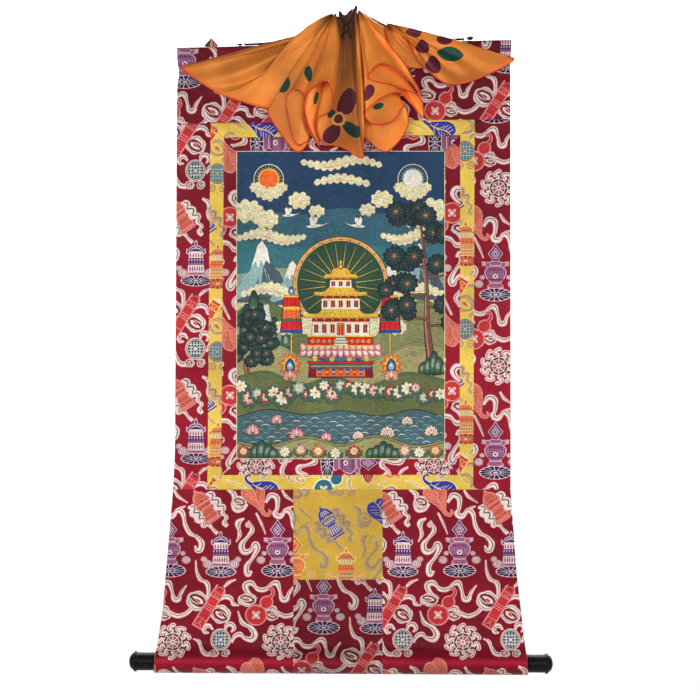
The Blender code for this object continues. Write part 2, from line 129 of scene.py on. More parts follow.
def tube_shell(path, radius, around=8):
    """Vertices and faces of a closed round tube along a path in millimetres."""
    side, up = frames_along(path)
    turn = np.linspace(0, 2 * math.pi, around, endpoint=False)
    radius = np.broadcast_to(radius, len(path))[:, None, None]
    ring = side[:, None] * np.cos(turn)[:, None] + up[:, None] * np.sin(turn)[:, None]
    verts = (path[:, None] + ring * radius).reshape(-1, 3)
    faces = []
    for i in range(len(path) - 1):
        for k in range(around):
            a, b = i * around + k, i * around + (k + 1) % around
            faces.append((a, a + around, b + around, b))
    faces.append(tuple(range(around)))
    last = (len(path) - 1) * around
    faces.append(tuple(last + k for k in reversed(range(around))))
    return verts, faces


def twisted_cord(name, route, radius, yarns, twist, material):
    """Yarns twisted round each other along a route, each yarn a tube of its own, in one mesh."""
    length = np.linalg.norm(np.diff(route, axis=0), axis=1).sum()
    path = even_path(route, int(length / (twist / 10)))
    side, up = frames_along(path)
    run = np.linspace(0, length, len(path))
    verts, faces = [], []
    for yarn in range(yarns):
        turn = 2 * math.pi * (run / twist + yarn / yarns)
        off = radius * YARN_OFF * (side * np.cos(turn)[:, None] + up * np.sin(turn)[:, None])
        shell, quads = tube_shell(path + off, radius * YARN_THICK, 7)
        faces += [tuple(k + len(verts) for k in quad) for quad in quads]
        verts += list(shell)
    return new_piece(name, world(verts), faces, material)


def shader_of(material):
    return material.node_tree.nodes["Principled BSDF"]


def node(material, kind, **sockets):
    """A shader node with its sockets set, named as in the node's own panel."""
    made = material.node_tree.nodes.new(kind)
    for name, value in sockets.items():
        made.inputs[name.replace("_", " ")].default_value = value
    return made


def join(material, source, socket, target, entry):
    material.node_tree.links.new(source.outputs[socket], target.inputs[entry])


def new_material(name, rough, sheen=0.0, shine=0.5, lustre=0.0):
    """A plain surface. Silk's lustre makes it shine in its own colour."""
    material = bpy.data.materials.new(name)
    material.use_nodes = True
    shader = shader_of(material)
    shader.inputs["Roughness"].default_value = rough
    shader.inputs["Sheen Weight"].default_value = sheen
    shader.inputs["Specular IOR Level"].default_value = shine
    shader.inputs["Metallic"].default_value = lustre
    return material


def dye(red, green, blue):
    """A colour as the eye reads it, 0 to 255, as the linear numbers that a shader takes."""
    shares = np.array((red, green, blue)) / 255.0
    linear = np.where(shares < 0.04045, shares / 12.92, ((shares + 0.055) / 1.055) ** 2.4)
    return tuple(float(share) for share in linear) + (1.0,)


def texture(material, kind, stretched=None, **sockets):
    """A texture that lies in the piece's own frame, stretched along its axes where that is asked."""
    source, socket = node(material, "ShaderNodeTexCoord"), "Object"
    if stretched:
        mapping = node(material, "ShaderNodeMapping", Scale=stretched)
        join(material, source, socket, mapping, "Vector")
        source, socket = mapping, "Vector"
    made = node(material, "ShaderNodeTex" + kind, **sockets)
    join(material, source, socket, made, "Vector")
    return made


def dyed_by(material, source, dark, light, low=0.0, high=1.0):
    """The colour goes from the dark dye to the light one as the texture goes from low to high."""
    shade = node(material, "ShaderNodeValToRGB")
    for stop, place, colour in zip(shade.color_ramp.elements, (low, high), (dark, light)):
        stop.position, stop.color = place, dye(*colour)
    join(material, source, "Fac", shade, "Fac")
    join(material, shade, "Color", shader_of(material), "Base Color")


def raised_by(material, source, strength, distance, under=None):
    """The texture as a fine relief, on top of another one where that is given."""
    relief = node(material, "ShaderNodeBump", Strength=strength, Distance=distance)
    join(material, source, "Fac", relief, "Height")
    if under:
        join(material, under, "Normal", relief, "Normal")
    join(material, relief, "Normal", shader_of(material), "Normal")
    return relief


def black_yarn():
    """Matt black spun yarn with fine hairs and a little grey dust."""
    yarn = new_material("black_yarn", 0.82, 0.1, 0.2)
    fibre = texture(yarn, "Noise", Scale=2600.0, Detail=3.0)
    dyed_by(yarn, fibre, (12, 10, 12), (48, 43, 42))
    raised_by(yarn, fibre, 0.5, 0.0002)
    return yarn


BLACK_YARN = black_yarn()
cord_route = np.array([(x, 0.0, z) for x, z in CORD_ROUTE])
hanging_cord = twisted_cord("hanging_cord_yarns", cord_route, CORD_RADIUS, 3, 9.0, BLACK_YARN)
cord_path = even_path(cord_route, 46)
TIE_RADIUS = 1.9
TIE_ROUTE = (  # x, out, z, from one free end to the other
    (-9.0, 19.0, -41.5), (-10.5, 19.8, -36.0), (-7.5, 19.6, -31.6), (-3.0, 18.6, -29.6),
    (0.6, 20.6, -25.4), (-2.0, 23.4, -20.4), (-7.6, 21.6, -14.6), (-12.0, 17.4, -9.0),
    (-14.2, 11.0, -2.6), (-13.4, 3.2, 2.4), (-11.6, -2.6, 0.6), (-8.2, -5.0, -3.4),
    (-1.0, -5.6, -6.4), (6.0, -5.0, -3.0), (9.6, -2.2, 3.0), (11.0, 4.0, 7.6),
    (10.6, 12.0, 8.4), (9.0, 18.2, 4.2), (6.4, 20.4, -4.0), (2.4, 19.6, -11.5),
    (-1.2, 18.4, -17.6), (-7.0, 20.4, -22.4), (-8.2, 22.8, -26.8), (-4.2, 23.4, -30.4),
    (1.0, 22.0, -33.4), (3.6, 19.6, -39.0),
)
cover_tie = twisted_cord("cover_tie_yarns", np.array(TIE_ROUTE), TIE_RADIUS, 3, 8.0, BLACK_YARN)
STAYS = {  # where the cord is stitched down: x, half width, half height, half depth
    "cord_stay_left": (-163.5, 4.0, 2.0, 2.8), "cord_stay_right": (181.5, 5.5, 3.4, 3.4),
}
STAY_GAP = 0.3
STAY_YARN = 0.8
TOP_EDGE = {"x": -258.0, "z": -50.3, "slope": 0.0239}


def along(line, x):
    return line["z"] + (x - line["x"]) * line["slope"]


def wound_stay(name):
    """Yarn wound round the end of the cord where it is stitched down."""
    x, half_width, half_height, half_depth = STAYS[name]
    turns = round(half_width * 0.9)
    share = np.linspace(-1, 1, 24 * turns)
    swell = np.sqrt(1 - 0.75 * share ** 2)
    angle = share * turns * math.pi
    coil = np.stack([
        x + share * (half_width - STAY_YARN),
        (half_depth - STAY_YARN) * swell * np.cos(angle),
        along(TOP_EDGE, x) + STAY_GAP + half_height + (half_height - STAY_YARN) * swell * np.sin(angle),
    ], axis=1)
    shell, faces = tube_shell(coil, STAY_YARN, 7)
    return new_piece(f"{name}_winding", world(shell), faces, BLACK_YARN)


for piece, stood_for in (
    (hanging_cord, "hanging_cord"), (cover_tie, "cover_tie"),
    (wound_stay("cord_stay_left"), "cord_stay_left"), (wound_stay("cord_stay_right"), "cord_stay_right"),
):
    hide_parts(stood_for)
    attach(piece, "root")
cord_line = [tuple(float(value) for value in point) for point in world(cord_path)]
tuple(cord_line[0])

# ------------------------------------------------------------------ the red brocade
# Silk brocade, woven with a crimson satin ground. Extra coloured wefts float over it in eight emblems,
# from pavilion to vase, tied about with cream ribbons. One repeat is 162 mm wide and 267 mm high.
REPEAT_WIDE = 162.0
REPEAT_HIGH = 267.0
RED_DYES = {
    "ground": dye(134, 13, 36),
    "plain": dye(140, 15, 44),
    "cream": dye(244, 224, 216),
    "line": dye(84, 62, 66),
    "blush": dye(232, 148, 148),
    "lilac": dye(222, 190, 204),
    "coral": dye(206, 52, 54),
    "salmon": dye(222, 116, 92),
    "rust": dye(170, 30, 38),
    "violet": dye(86, 40, 112),
    "mauve": dye(164, 94, 126),
    "navy": dye(40, 26, 84),
    "teal": dye(30, 92, 98),
    "black": dye(34, 22, 34),
}


def curve_through(points, per_span=5, closed=False):
    """A smooth line through points in the flat cloth."""
    points = np.array(points, float)
    rows = np.vstack([points[-1], points, points[:2]]) if closed else points
    if not closed:
        rows = np.vstack([2 * points[0] - points[1], points, 2 * points[-1] - points[-2]])
    t = np.linspace(0, 1, per_span, endpoint=False)[:, None]
    spans = []
    for a, b, c, d in zip(rows, rows[1:], rows[2:], rows[3:]):
        bend = (2 * a - 5 * b + 4 * c - d) * t**2 + (3 * b - a - 3 * c + d) * t**3
        spans.append(b + 0.5 * ((c - a) * t + bend))
    if not closed:
        spans.append(points[-1:])
    return np.vstack(spans)


def band(line, widths):
    """The outline of a stripe along a line, with its widths spread evenly along it."""
    ways = np.gradient(line, axis=0)
    ways /= np.linalg.norm(ways, axis=1)[:, None] + 1e-9
    spread = np.interp(np.linspace(0, 1, len(line)), np.linspace(0, 1, len(widths)), widths)
    side = np.stack([-ways[:, 1], ways[:, 0]], axis=1) * spread[:, None] / 2
    return np.vstack([line + side, (line - side)[::-1]])


def oval(x, y, wide, high, turn=0.0, sides=18):
    angle = np.linspace(0, 2 * math.pi, sides, endpoint=False)
    flat = np.stack([wide * np.cos(angle), high * np.sin(angle)], axis=1)
    return turned(flat, turn) + (x, y)


def turned(points, degrees):
    c, s = math.cos(math.radians(degrees)), math.sin(math.radians(degrees))
    return np.asarray(points, float) @ np.array([[c, s], [-s, c]])


def box(left, low, right, high, narrowed=0.0):
    """A bar of weft, its top narrowed on both sides."""
    return np.array([(left, low), (right, low), (right - narrowed, high), (left + narrowed, high)])


def mirrored(points):
    return (np.asarray(points, float) * (-1, 1))[::-1]


class Figures:
    """Woven areas in the order in which they cover each other, each with its dye and outline."""

    def __init__(self):
        self.areas = []

    def add(self, colour, *outlines):
        self.areas += [(colour, np.asarray(outline, float)) for outline in outlines]

    def put(self, other, x=0.0, y=0.0, turn=0.0):
        self.areas += [(colour, turned(area, turn) + (x, y)) for colour, area in other.areas]

    def bars(self, colour, *rows):
        """Bars across the middle, each as half width, low, high and how far its top narrows."""
        for half, low, high, *narrowed in rows:
            self.add(colour, box(-half, low, half, high, *narrowed))

    def disc(self, colour, *sizes, sides=18):
        self.add(colour, oval(*sizes, sides=sides))

    def stroke(self, colour, points, widths, per_span=4):
        self.add(colour, band(curve_through(points, per_span), widths))

    def nest(self, outline, *layers):
        """One outline in several dyes, each with its share of the size, then how far it is moved."""
        outline = np.asarray(outline, float)
        for colour, share, *shift in layers:
            self.add(colour, outline if share == 1 and not shift else shrunk(outline, share, *shift))

    def ribbon(self, points, widths, edge=0.9):
        """A cream ribbon, broad at its bends, with a blush edge and a dark line along its middle."""
        line = curve_through(points)
        ways = np.gradient(line, axis=0)
        turns = np.unwrap(np.arctan2(ways[:, 1], ways[:, 0]))
        sharp = np.abs(np.convolve(np.gradient(turns), np.ones(5) / 5, "same"))
        spread = np.interp(np.linspace(0, 1, len(line)), np.linspace(0, 1, len(widths)), widths)
        spread = spread * (0.56 + np.clip(sharp * 2.4, 0.0, 0.56))
        self.add("blush", band(line, spread + 2 * edge))
        self.add("cream", band(line, spread))
        inner, thin = (line[2:-2], spread[2:-2]) if len(line) > 8 else (line, spread)
        ways = np.gradient(inner, axis=0)
        ways /= np.linalg.norm(ways, axis=1)[:, None] + 1e-9
        beside = inner + np.stack([-ways[:, 1], ways[:, 0]], axis=1) * thin[:, None] * 0.16
        self.add("line", band(beside, np.maximum(thin * 0.19, 0.6)))

    def bow(self, x, y, wide, high, turn):
        """A looped ribbon seen from the side: a soft cream fold, open in the middle, round two tongues."""
        size = wide, high
        outer = lobed(oval(0, 0, wide, high, 20, 6), 0.22)
        eye = ring_through(
            [(-0.78, 0.06), (-0.4, 0.6), (0.34, 0.66), (0.8, 0.14), (0.46, -0.46), (-0.34, -0.48)]) * size
        fold = ring_through(
            [(-0.6, 0.14), (-0.22, 0.4), (0.36, 0.36), (0.56, 0.0), (0.1, -0.14), (-0.2, 0.0)]) * size
        tongue = curve_through([(-0.86, -0.06), (-0.3, -0.3), (0.3, -0.26)], 4) * size
        for colour, shape in (
            ("blush", outer * 1.06), ("cream", outer), ("line", outer * 0.86), ("cream", outer * 0.8),
            ("line", eye * 1.05), ("ground", eye * 0.95), ("blush", fold * 1.08), ("cream", fold),
            ("coral", fold * 0.5), ("cream", band(tongue, (0.6, 1.6, 0.6))),
        ):
            self.add(colour, turned(shape, turn) + (x, y))


def ring_through(points, per_span=4):
    """A smooth closed outline through points."""
    return curve_through(points, per_span, closed=True)


def shrunk(outline, share, dx=0.0, dy=0.0):
    """An outline drawn in, or let out, about its middle, then moved."""
    middle = outline.mean(axis=0)
    return middle + (outline - middle) * share + (dx, dy)


def lobed(points, bulge=0.5, steps=5):
    """A closed outline, going round to the left, whose every side swells outwards into a lobe."""
    outline = []
    points = np.asarray(points, float)
    for a, b in zip(points, np.roll(points, -1, axis=0)):
        side = b - a
        out = np.array((side[1], -side[0]))
        for t in np.linspace(0, 1, steps, endpoint=False):
            outline.append(a + side * t + out * bulge * 4 * t * (1 - t) * (1.15 - 0.3 * t))
    return np.array(outline)


def lotus_seat(half, high, petals):
    """The round dish of navy petals that an emblem stands on, seen a little from above."""
    seat = Figures()
    seat.disc("blush", 0, 0, half + 0.9, high + 0.9, sides=28)
    seat.disc("cream", 0, 0, half, high, sides=28)
    petal = np.array([(0.34, -0.66), (0.34, 0.66), (0.88, 0.98), (0.97, 0.6), (0.97, -0.6), (0.88, -0.98)])
    for k in range(petals):
        angle = 2 * math.pi / petals * (k + 0.5 + petal[:, 1] * 0.46)
        x, y = half * petal[:, 0] * np.cos(angle), high * petal[:, 0] * np.sin(angle)
        seat.add("navy", np.stack([x, y], axis=1))
    for colour, share in (("violet", 0.3), ("lilac", 0.16)):
        seat.disc(colour, 0, 0, half * share, high * share, sides=14)
    return seat


def volute(size):
    """A small cloud curl, like a snail's shell."""
    curl = Figures()
    for colour, share in (("lilac", 1.1), ("mauve", 0.92), ("cream", 0.72), ("rust", 0.46), ("cream", 0.26)):
        curl.disc(colour, 0, 0, size * share, size * 0.86 * share, sides=12)
    return curl


def both_sides(points):
    """A shape to the right of the middle and its mirror image, each with its side."""
    shape = ring_through(points)
    return (1, shape), (-1, mirrored(shape))


def pavilion():
    """The banner of victory: a roofed drum of silk valances between two curls, on a lotus seat."""
    one = Figures()
    for side, flame in both_sides([(9, 9), (14.5, 12), (14, 19), (10.5, 15.5), (8, 15)]):
        one.nest(flame, ("lilac", 1), ("violet", 0.55))
        one.put(volute(6.6), side * 20.0, -18.0)
        one.put(volute(4.4), side * 25.5, -11.0)
    one.bars("lilac", (13.4, -26.0, 15.5, 3.4))
    roof = curve_through([(-10.5, 13), (-8.5, 19), (0, 22.5), (8.5, 19), (10.5, 13)], 5)
    one.add("lilac", roof * 1.07)
    one.add("violet", roof)
    one.bars("cream", (10, 12.2, 14.4))
    one.stroke("cream", [(-8, 16.8), (0, 19.6), (8, 16.8)], (1.0, 1.4, 1.0))
    one.disc("lilac", 0, 26, 2.6, 5.6, sides=8)
    one.disc("violet", 0, 25.4, 1.5, 3.8, sides=8)
    one.bars("cream", (10.5, 5.0, 11.2, 0.8))
    for k in range(5):
        one.add("rust", box(-9.2 + 4 * k, 6.0, -7.0 + 4 * k, 10.6, 0.3))
    one.bars("violet", (13.0, -5.6, 4.6, 1.8))
    for k in range(6):
        one.disc("mauve", -10.4 + 4.16 * k, -4.6, 1.9, 2.8, sides=9)
        one.disc("cream", -10.4 + 4.16 * k, 1.6, 0.7, 2.2, sides=6)
    one.bars("cream", (11.6, -16.6, -6.2, 0.4))
    for k in range(6):
        one.add("violet", box(-9.7 + 3.6 * k, -15.6, -8.3 + 3.6 * k, -7.6))
    one.bars("mauve", (12.6, -20.4, -17.4, 0.4))
    one.bars("cream", (13.0, -25.6, -21.0, 0.4))
    for k in range(7):
        one.disc("violet", -10.8 + 3.6 * k, -23.3, 1.0, 1.5, sides=7)
    one.bars("rust", (10.8, -12.4, -11.4))
    one.put(lotus_seat(22.5, 8.0, 14), 0, -29.5)
    return one


def treasure_vase():
    """The vase of treasure: a banded jar with scrolled handles, a flaming jewel on top, a lotus under."""
    one = Figures()
    jewel = np.array([
        (0, 46), (4.0, 39.5), (10.6, 31.5), (6.4, 26), (2.8, 19.5), (-2.8, 19.5), (-6.4, 26), (-10.6, 31.5),
        (-4.0, 39.5)])
    for colour, size in (
        ("lilac", 1.08), ("violet", 0.96), ("lilac", 0.66), ("mauve", 0.54), ("cream", 0.3), ("violet", 0.2),
    ):
        one.add(colour, (jewel - (0, 31)) * size + (0, 31))
    for side, ear in both_sides([(8, 8), (15, 12), (21, 19), (13, 19), (7, 17)]):
        one.nest(ear, ("lilac", 1), ("mauve", 0.72))
        for size, x, y in ((3.0, 17.5, 15.5), (6.0, 25.0, -14.0), (3.6, 20.0, -4.0)):
            one.put(volute(size), side * x, y)
    body = ring_through(
        [(-8, 19), (-7, 13), (-15, 6), (-13, -4), (-8, -11), (-11, -18), (0, -20),
         (11, -18), (8, -11), (13, -4), (15, 6), (7, 13), (8, 19)])
    one.bars("lilac", (13.0, -25.5, -17.0, 2.0))
    one.bars("mauve", (11.8, -24.6, -20.8, 0.8))
    one.add("lilac", body * (1.1, 1.04))
    one.add("mauve", body)
    one.bars("violet", (14.0, 0.0, 3.0), (10.5, -8.6, -6.8, -1.2))
    one.bars("lilac", (7.4, 12.4, 14.2), (9.0, -13.2, -11.8))
    for k in range(7):
        one.disc("lilac", -11.4 + 3.8 * k, 1.5, 1.1, 1.1, sides=7)
        one.disc("violet", -9.0 + 3.0 * k, 7.8, 1.0, 2.2, sides=7)
    one.disc("cream", 0, -2.6, 4.2, 3.4, sides=10)
    one.disc("violet", 0, -2.6, 2.0, 1.6, sides=8)
    one.put(lotus_seat(24.0, 9.6, 15), 0, -30.0)
    return one


def scroll_bundle():
    """A rolled book in a tied wrapper, drawn upright here: coral with pale bands."""
    one = Figures()
    one.bars("blush", (8.8, -37.6, 30.4))
    one.bars("coral", (6.8, -35.4, 28.4))
    for low, high in ((-22.6, -21.6), (-6.2, -5.0), (-2.6, -1.4), (1.2, 2.4), (14.4, 15.6), (23.0, 24.0)):
        one.bars("blush", (7.0, low, high))
    for side in (-1, 1):
        one.stroke("blush", [(side * 5.6, 16), (side * 1.2, 18), (side * 3.6, 22)], (0.9, 0.9))
        one.stroke("blush", [(side * 5, -33), (0, -29.6), (side * -1, -25)], (0.8, 0.8))
    cap = [(-7, 29), (-7.6, 34), (-1, 31.6), (0.6, 37), (6.4, 33), (7.4, 29)]
    one.add("blush", ring_through(cap))
    one.add("rust", ring_through(np.array(cap) * (0.7, 0.98) + (0, 0.4)))
    one.stroke("blush", [(-4, 31), (0, 33.6), (4, 31)], (0.9, 0.9))
    return one


def gourd():
    """A bottle gourd with a curled stem and a knot flower on its belly."""
    one = Figures()
    stem = curve_through([(20, 25), (25.6, 33), (23, 40), (17.4, 37.6)], 5)
    for colour, widths, belly, neck in (
        ("blush", (6.8, 5.6, 5.0, 3.8), (16.6, 16.0), (10.8, 10.0)),
        ("coral", (3.6, 2.6, 2.0, 1.2), (14.6, 14.0), (8.8, 8.0)),
    ):
        one.add(colour, band(stem, widths), oval(0, 0, *belly, sides=24), oval(15.6, 19, *neck, 40))
    one.stroke("blush", [(3, 13), (9, 12), (13, 8.6)], (1.2, 1.2))
    for turn in range(0, 360, 90):
        one.nest(turned(oval(4.0, 0, 3.6, 2.2, sides=9), turn + 45), ("cream", 1), ("rust", 0.42))
    one.disc("cream", 0, 0, 1.8, 1.8, sides=8)
    return one


def knot_disc():
    """A teal roundel with an interlaced knot between white and black rings."""
    one = Figures()
    for colour, share in (("blush", 1.09), ("cream", 1.04), ("black", 0.97), ("cream", 0.9), ("teal", 0.84)):
        one.disc(colour, 0, 0, 14.2 * share, 15.6 * share, sides=28)
    for off in (-6.6, -2.2, 2.2, 6.6):
        reach = math.sqrt(1 - (off / 12.4) ** 2) * 11.4
        one.add("cream", box(off - 0.55, -reach, off + 0.55, reach))
        one.add("cream", box(-reach, off - 0.55, reach, off + 0.55))
    one.bars("teal", (2.9, -2.9, 2.9))
    one.add("cream", turned(box(-2.2, -2.2, 2.2, 2.2), 45))
    return one


def wheel():
    """The eight-spoked wheel."""
    one = Figures()
    for colour, size in (("cream", 14.4), ("black", 13.2), ("line", 12.2), ("cream", 10.0), ("rust", 9.0)):
        one.disc(colour, 0, 0, size, size, sides=28)
    for turn in range(0, 360, 45):
        one.add("cream", turned(box(-0.8, 0, 0.8, 9.4, 0.2), turn))
        one.add("mauve", turned(oval(0, 6.6, 1.4, 1.8, sides=7), turn + 22.5))
        one.add("cream", turned(oval(0, 11.1, 1.2, 0.9, sides=7), turn))
    one.disc("cream", 0, 0, 3.4, 3.4, sides=12)
    one.disc("rust", 0, 0, 1.7, 1.7, sides=9)
    return one


def parasol():
    """The parasol, drawn upright here: a swagged roof, a ring and a pleated skirt over a bar."""
    one = Figures()
    roof = ring_through(
        [(0, 27), (6.4, 23.4), (9.6, 18.8), (12.4, 9.6), (8.6, 12.6), (5.4, 12.0), (0, 13.6),
         (-5.4, 12.0), (-8.6, 12.6), (-12.4, 9.6), (-9.6, 18.8), (-6.4, 23.4)], 3)
    skirt = ring_through([(-6, -1), (-7.6, -8), (-10.6, -17), (0, -18.6), (10.6, -17), (7.6, -8), (6, -1)])
    ring = ring_through([(-9.4, 9.6), (-10.6, 4.2), (-6.4, -0.6), (6.4, -0.6), (10.6, 4.2), (9.4, 9.6)], 3)
    for shape in (skirt, ring, roof):
        one.nest(shape, ("blush", 1.13))
    one.add("blush", box(-11.6, -23.6, 11.6, -19.2), oval(0, 28.6, 3.0, 3.2, sides=10))
    one.add("salmon", skirt, ring, roof, box(-10.6, -22.6, 10.6, -20.2), oval(0, 28.4, 1.9, 2.0, sides=9))
    for k in range(5):
        lean = (k - 2) * 0.2
        pleat = [
            (k * 2.6 - 5.7, -3), (k * 2.6 - 4.7, -3),
            (k * 3.7 - 6.8 + lean, -16), (k * 3.7 - 8.2 + lean, -16)]
        swag = [(k * 1.9 - 4.2, 22.6), (k * 1.9 - 3.4, 22.6), (k * 3.2 - 6.0, 15), (k * 3.2 - 6.9, 15)]
        one.add("rust", pleat, swag)
    for k in range(6):
        one.disc("rust", -7.5 + 3.0 * k, 4.6, 0.9, 2.4, sides=7)
    one.bars("blush", (9.6, 7.4, 8.3), (7.2, 0.4, 1.2), (8.6, -11.4, -10.6))
    return one


def conch():
    """The white conch of the emblems, here salmon: a cleft, ribbed shell whose spout curls away."""
    one = Figures()
    shell = ring_through(
        [(0, 20), (8, 22.4), (15.6, 16), (16.4, 5), (10, -8), (3.4, -19), (-2.6, -19.4),
         (-7, -9), (-14.4, 3), (-16, 14), (-10, 21), (-3, 21.4)])
    one.add("blush", shell * 1.07)
    one.add("salmon", shell)
    for k in range(6):
        lift = 15.5 - 4.6 * k
        reach = 12.6 - 0.075 * (9 - lift) ** 2
        left = [(-reach, lift + 1.2), (-reach * 0.5, lift - 1.2), (-1.2, lift - 3.4)]
        right = [(1.6, lift - 3.2), (reach * 0.55, lift - 0.6), (reach, lift + 2.0)]
        one.stroke("blush", left, (0.8, 0.8), 3)
        one.stroke("rust", right, (0.8, 0.8), 3)
    one.stroke("blush", [(0, 20), (2.4, 8), (0, -4), (0.6, -18)], (1.2, 1.4, 1.2, 1.0))
    spout = [(0, -17), (1, -26), (5.4, -31), (10.4, -28.6), (9.8, -24)]
    one.stroke("blush", spout, (7.4, 6.4, 5.6, 4.6, 2.6), 5)
    one.stroke("salmon", spout, (5.4, 4.4, 3.6, 2.6, 1.0), 5)
    return one


RIBBONS = (  # points about the middle of the pavilion, then widths along them
    ([(34.7, 50.7), (25.4, 43.1), (28.2, 26.3), (22.7, 14.8)], (3.5, 7.0, 5.5, 1.0)),
    ([(41.1, 46.8), (46.9, 33.5), (39.5, 22.0), (31.1, 10.8), (34.0, 0.5), (43.5, 2.0), (51.4, 12.0),
      (54.5, 4.8), (47.8, -8.4), (38.6, -21.5), (40.2, -33.7), (46.7, -28.5)],
     (3.0, 5.5, 6.5, 7.5, 7.0, 6.0, 7.0, 7.5, 6.5, 7.0, 6.5, 4.0)),
    ([(52.6, 58.6), (60.3, 43.1), (67.0, 26.3)], (3.5, 4.5, 0.8)),
    ([(-73.7, 53.8), (-64.6, 62.4), (-57.2, 57.4), (-53.8, 40.7), (-46.7, 28.3), (-36.5, 22.7),
      (-29.0, 13.4), (-31.0, 3.6), (-36.2, 2.6), (-38.8, 9.6)],
     (1.5, 5.5, 6.5, 7.0, 6.5, 6.0, 8.0, 7.0, 5.0, 3.0)),
    ([(-70.6, 93.3), (-64.6, 83.7), (-56.2, 77.8), (-49.8, 73.7)], (4.0, 5.0, 3.4, 1.0)),
    ([(-37.8, -12.0), (-36.4, -28.7), (-31.1, -40.9), (-21.1, -46.7), (-18.7, -58.8), (-20.3, -71.0)],
     (1.2, 4.5, 5.5, 6.0, 6.5, 7.0)),
    ([(-8.0, -74.6), (4.8, -67.2), (14.4, -69.4), (18.5, -77.8), (27.5, -80.1)], (7.0, 6.5, 6.0, 5.0, 1.5)),
    ([(4.8, -52.4), (12.0, -45.5), (22.7, -41.1)], (4.5, 5.0, 1.5)),
    ([(53.8, -70.2), (40.5, -60.6), (36.4, -49.7), (45.7, -46.5), (55.2, -55.5), (66.0, -56.2),
      (75.4, -48.4), (83.7, -46.5), (88.0, -57.4), (91.6, -70.8), (98.3, -70.6), (102.4, -61.0),
      (110.5, -49.8)],
     (4.0, 6.5, 7.0, 6.5, 6.0, 6.0, 5.5, 6.5, 6.0, 5.5, 6.5, 6.0, 1.5)),
    ([(68.2, -88.5), (78.4, -84.3), (84.9, -90.9), (96.9, -96.2), (110.2, -91.9), (119.8, -81.1),
      (119.6, -71.4), (112.4, -75.0)],
     (6.0, 6.5, 7.0, 6.5, 6.0, 6.5, 5.5, 2.5)),
    ([(-41.9, -130.1), (-33.5, -134.0), (-29.7, -143.5), (-23.9, -153.5), (-14.4, -154.5),
      (-8.2, -146.9)],
     (1.5, 4.5, 6.5, 6.5, 6.0, 5.0)),
    ([(-12.0, -116.8), (-18.1, -110.6), (-25.5, -113.2), (-24.2, -120.2), (-17.9, -121.0)],
     (3.5, 5.0, 5.5, 4.5, 2.5)),
    ([(6.2, -117.0), (8.6, -109.6), (16.0, -108.5), (19.5, -114.6), (15.0, -120.4)],
     (3.5, 5.0, 5.5, 5.0, 2.5)),
    ([(15.7, -136.0), (20.7, -126.4), (28.6, -123.5), (35.6, -129.2), (45.7, -131.0), (50.4, -123.2),
      (43.8, -113.0), (31.6, -105.6), (25.4, -88.3)],
     (4.0, 5.5, 6.0, 6.0, 7.5, 8.0, 7.5, 6.0, 1.2)),
    ([(9.6, 93.8), (20.0, 85.9), (18.6, 72.8), (22.7, 63.7), (32.3, 64.6), (39.5, 72.0)],
     (5.0, 6.5, 7.0, 7.0, 6.5, 5.0)),
    ([(67.0, 74.0), (74.2, 84.9), (83.9, 81.3), (84.4, 67.0), (81.1, 57.4), (88.5, 53.6), (99.3, 64.1),
      (109.0, 68.9)],
     (5.0, 6.0, 7.0, 6.5, 6.5, 6.5, 6.0, 1.5)),
)
BOWS = (  # middle x and y, half width and height, turn
    (-35.4, -73.4, 15.6, 13.4, -30), (-0.4, -93.2, 14.2, 12.6, 146), (39.2, -71.4, 13.4, 8.6, -14),
    (27.4, 74.6, 10.4, 8.2, -20), (-9.4, -153.4, 5.6, 7.0, 70), (7.6, -153.0, 5.4, 6.6, 120),
    (76.0, -94.0, 10.6, 8.0, 160),
)
PLEATED = (  # the ribbons on both sides of the parasol: from, to, then the forked tail
    ((-20.5, 88.5), (4.8, 60.4), ((8.4, 52.6), (5.0, 44.6), (9.4, 38.4))),
    ((-47.0, 68.6), (-24.4, 41.8), ((-17.6, 40.4), (-11.6, 33.6), (-5.0, 27.4))),
)


def brocade_repeat():
    """All emblems and ribbons of one repeat, about the middle of its pavilion."""
    cloth = Figures()
    for points, widths in RIBBONS:
        cloth.ribbon(points, widths)
    for start, stop, tail in PLEATED:
        start, stop = np.array(start), np.array(stop)
        way = (stop - start) / np.linalg.norm(stop - start)
        side = np.array((-way[1], way[0]))
        steps = np.linspace(0, 1, 7)
        pleats = [start + (stop - start) * t + side * (3.4 if k % 2 else -3.4) for k, t in enumerate(steps)]
        cloth.ribbon(np.vstack([pleats, tail]), (5.0, 9.0, 9.6, 9.6, 9.0, 6.0, 4.0, 5.0, 9.0))
    for bow in BOWS:
        cloth.bow(*bow)
    hub = 89.7, -135.2
    for turn in (12, 48, 84, 118, 152, 190, 224, 262, 300, 336):
        size = 5.6 if turn % 24 else 6.6
        frill = [(0, 13.5), (size * 0.5, 17), (-size * 0.3, 20.5), (size * 0.5, 24.5), (size * 1.3, 24.6),
                 (size * 1.1, 21.4)]
        cloth.ribbon(turned(frill, turn) + hub, (2.6, 4.2, 4.8, 5.6, 4.6, 2.6), 0.7)
    for colour, size in (("blush", 4.6), ("cream", 3.8), ("rust", 2.4), ("cream", 1.4)):
        cloth.disc(colour, 40.7, 40.7, size, size, sides=12)
    for emblem, x, y, turn in (
        (pavilion(), 0, 0, 0), (treasure_vase(), 84.9, 2.0, 0), (scroll_bundle(), -16.7, -81.3, -32),
        (gourd(), 52.6, -94.5, 0), (knot_disc(), -0.7, -131.6, 0), (wheel(), *hub, 0),
        (parasol(), -22.6, 66.0, 34), (conch(), 52.0, 81.0, 26),
    ):
        cloth.put(emblem, x, y, turn)
    return cloth


BROCADE_REPEAT = brocade_repeat()


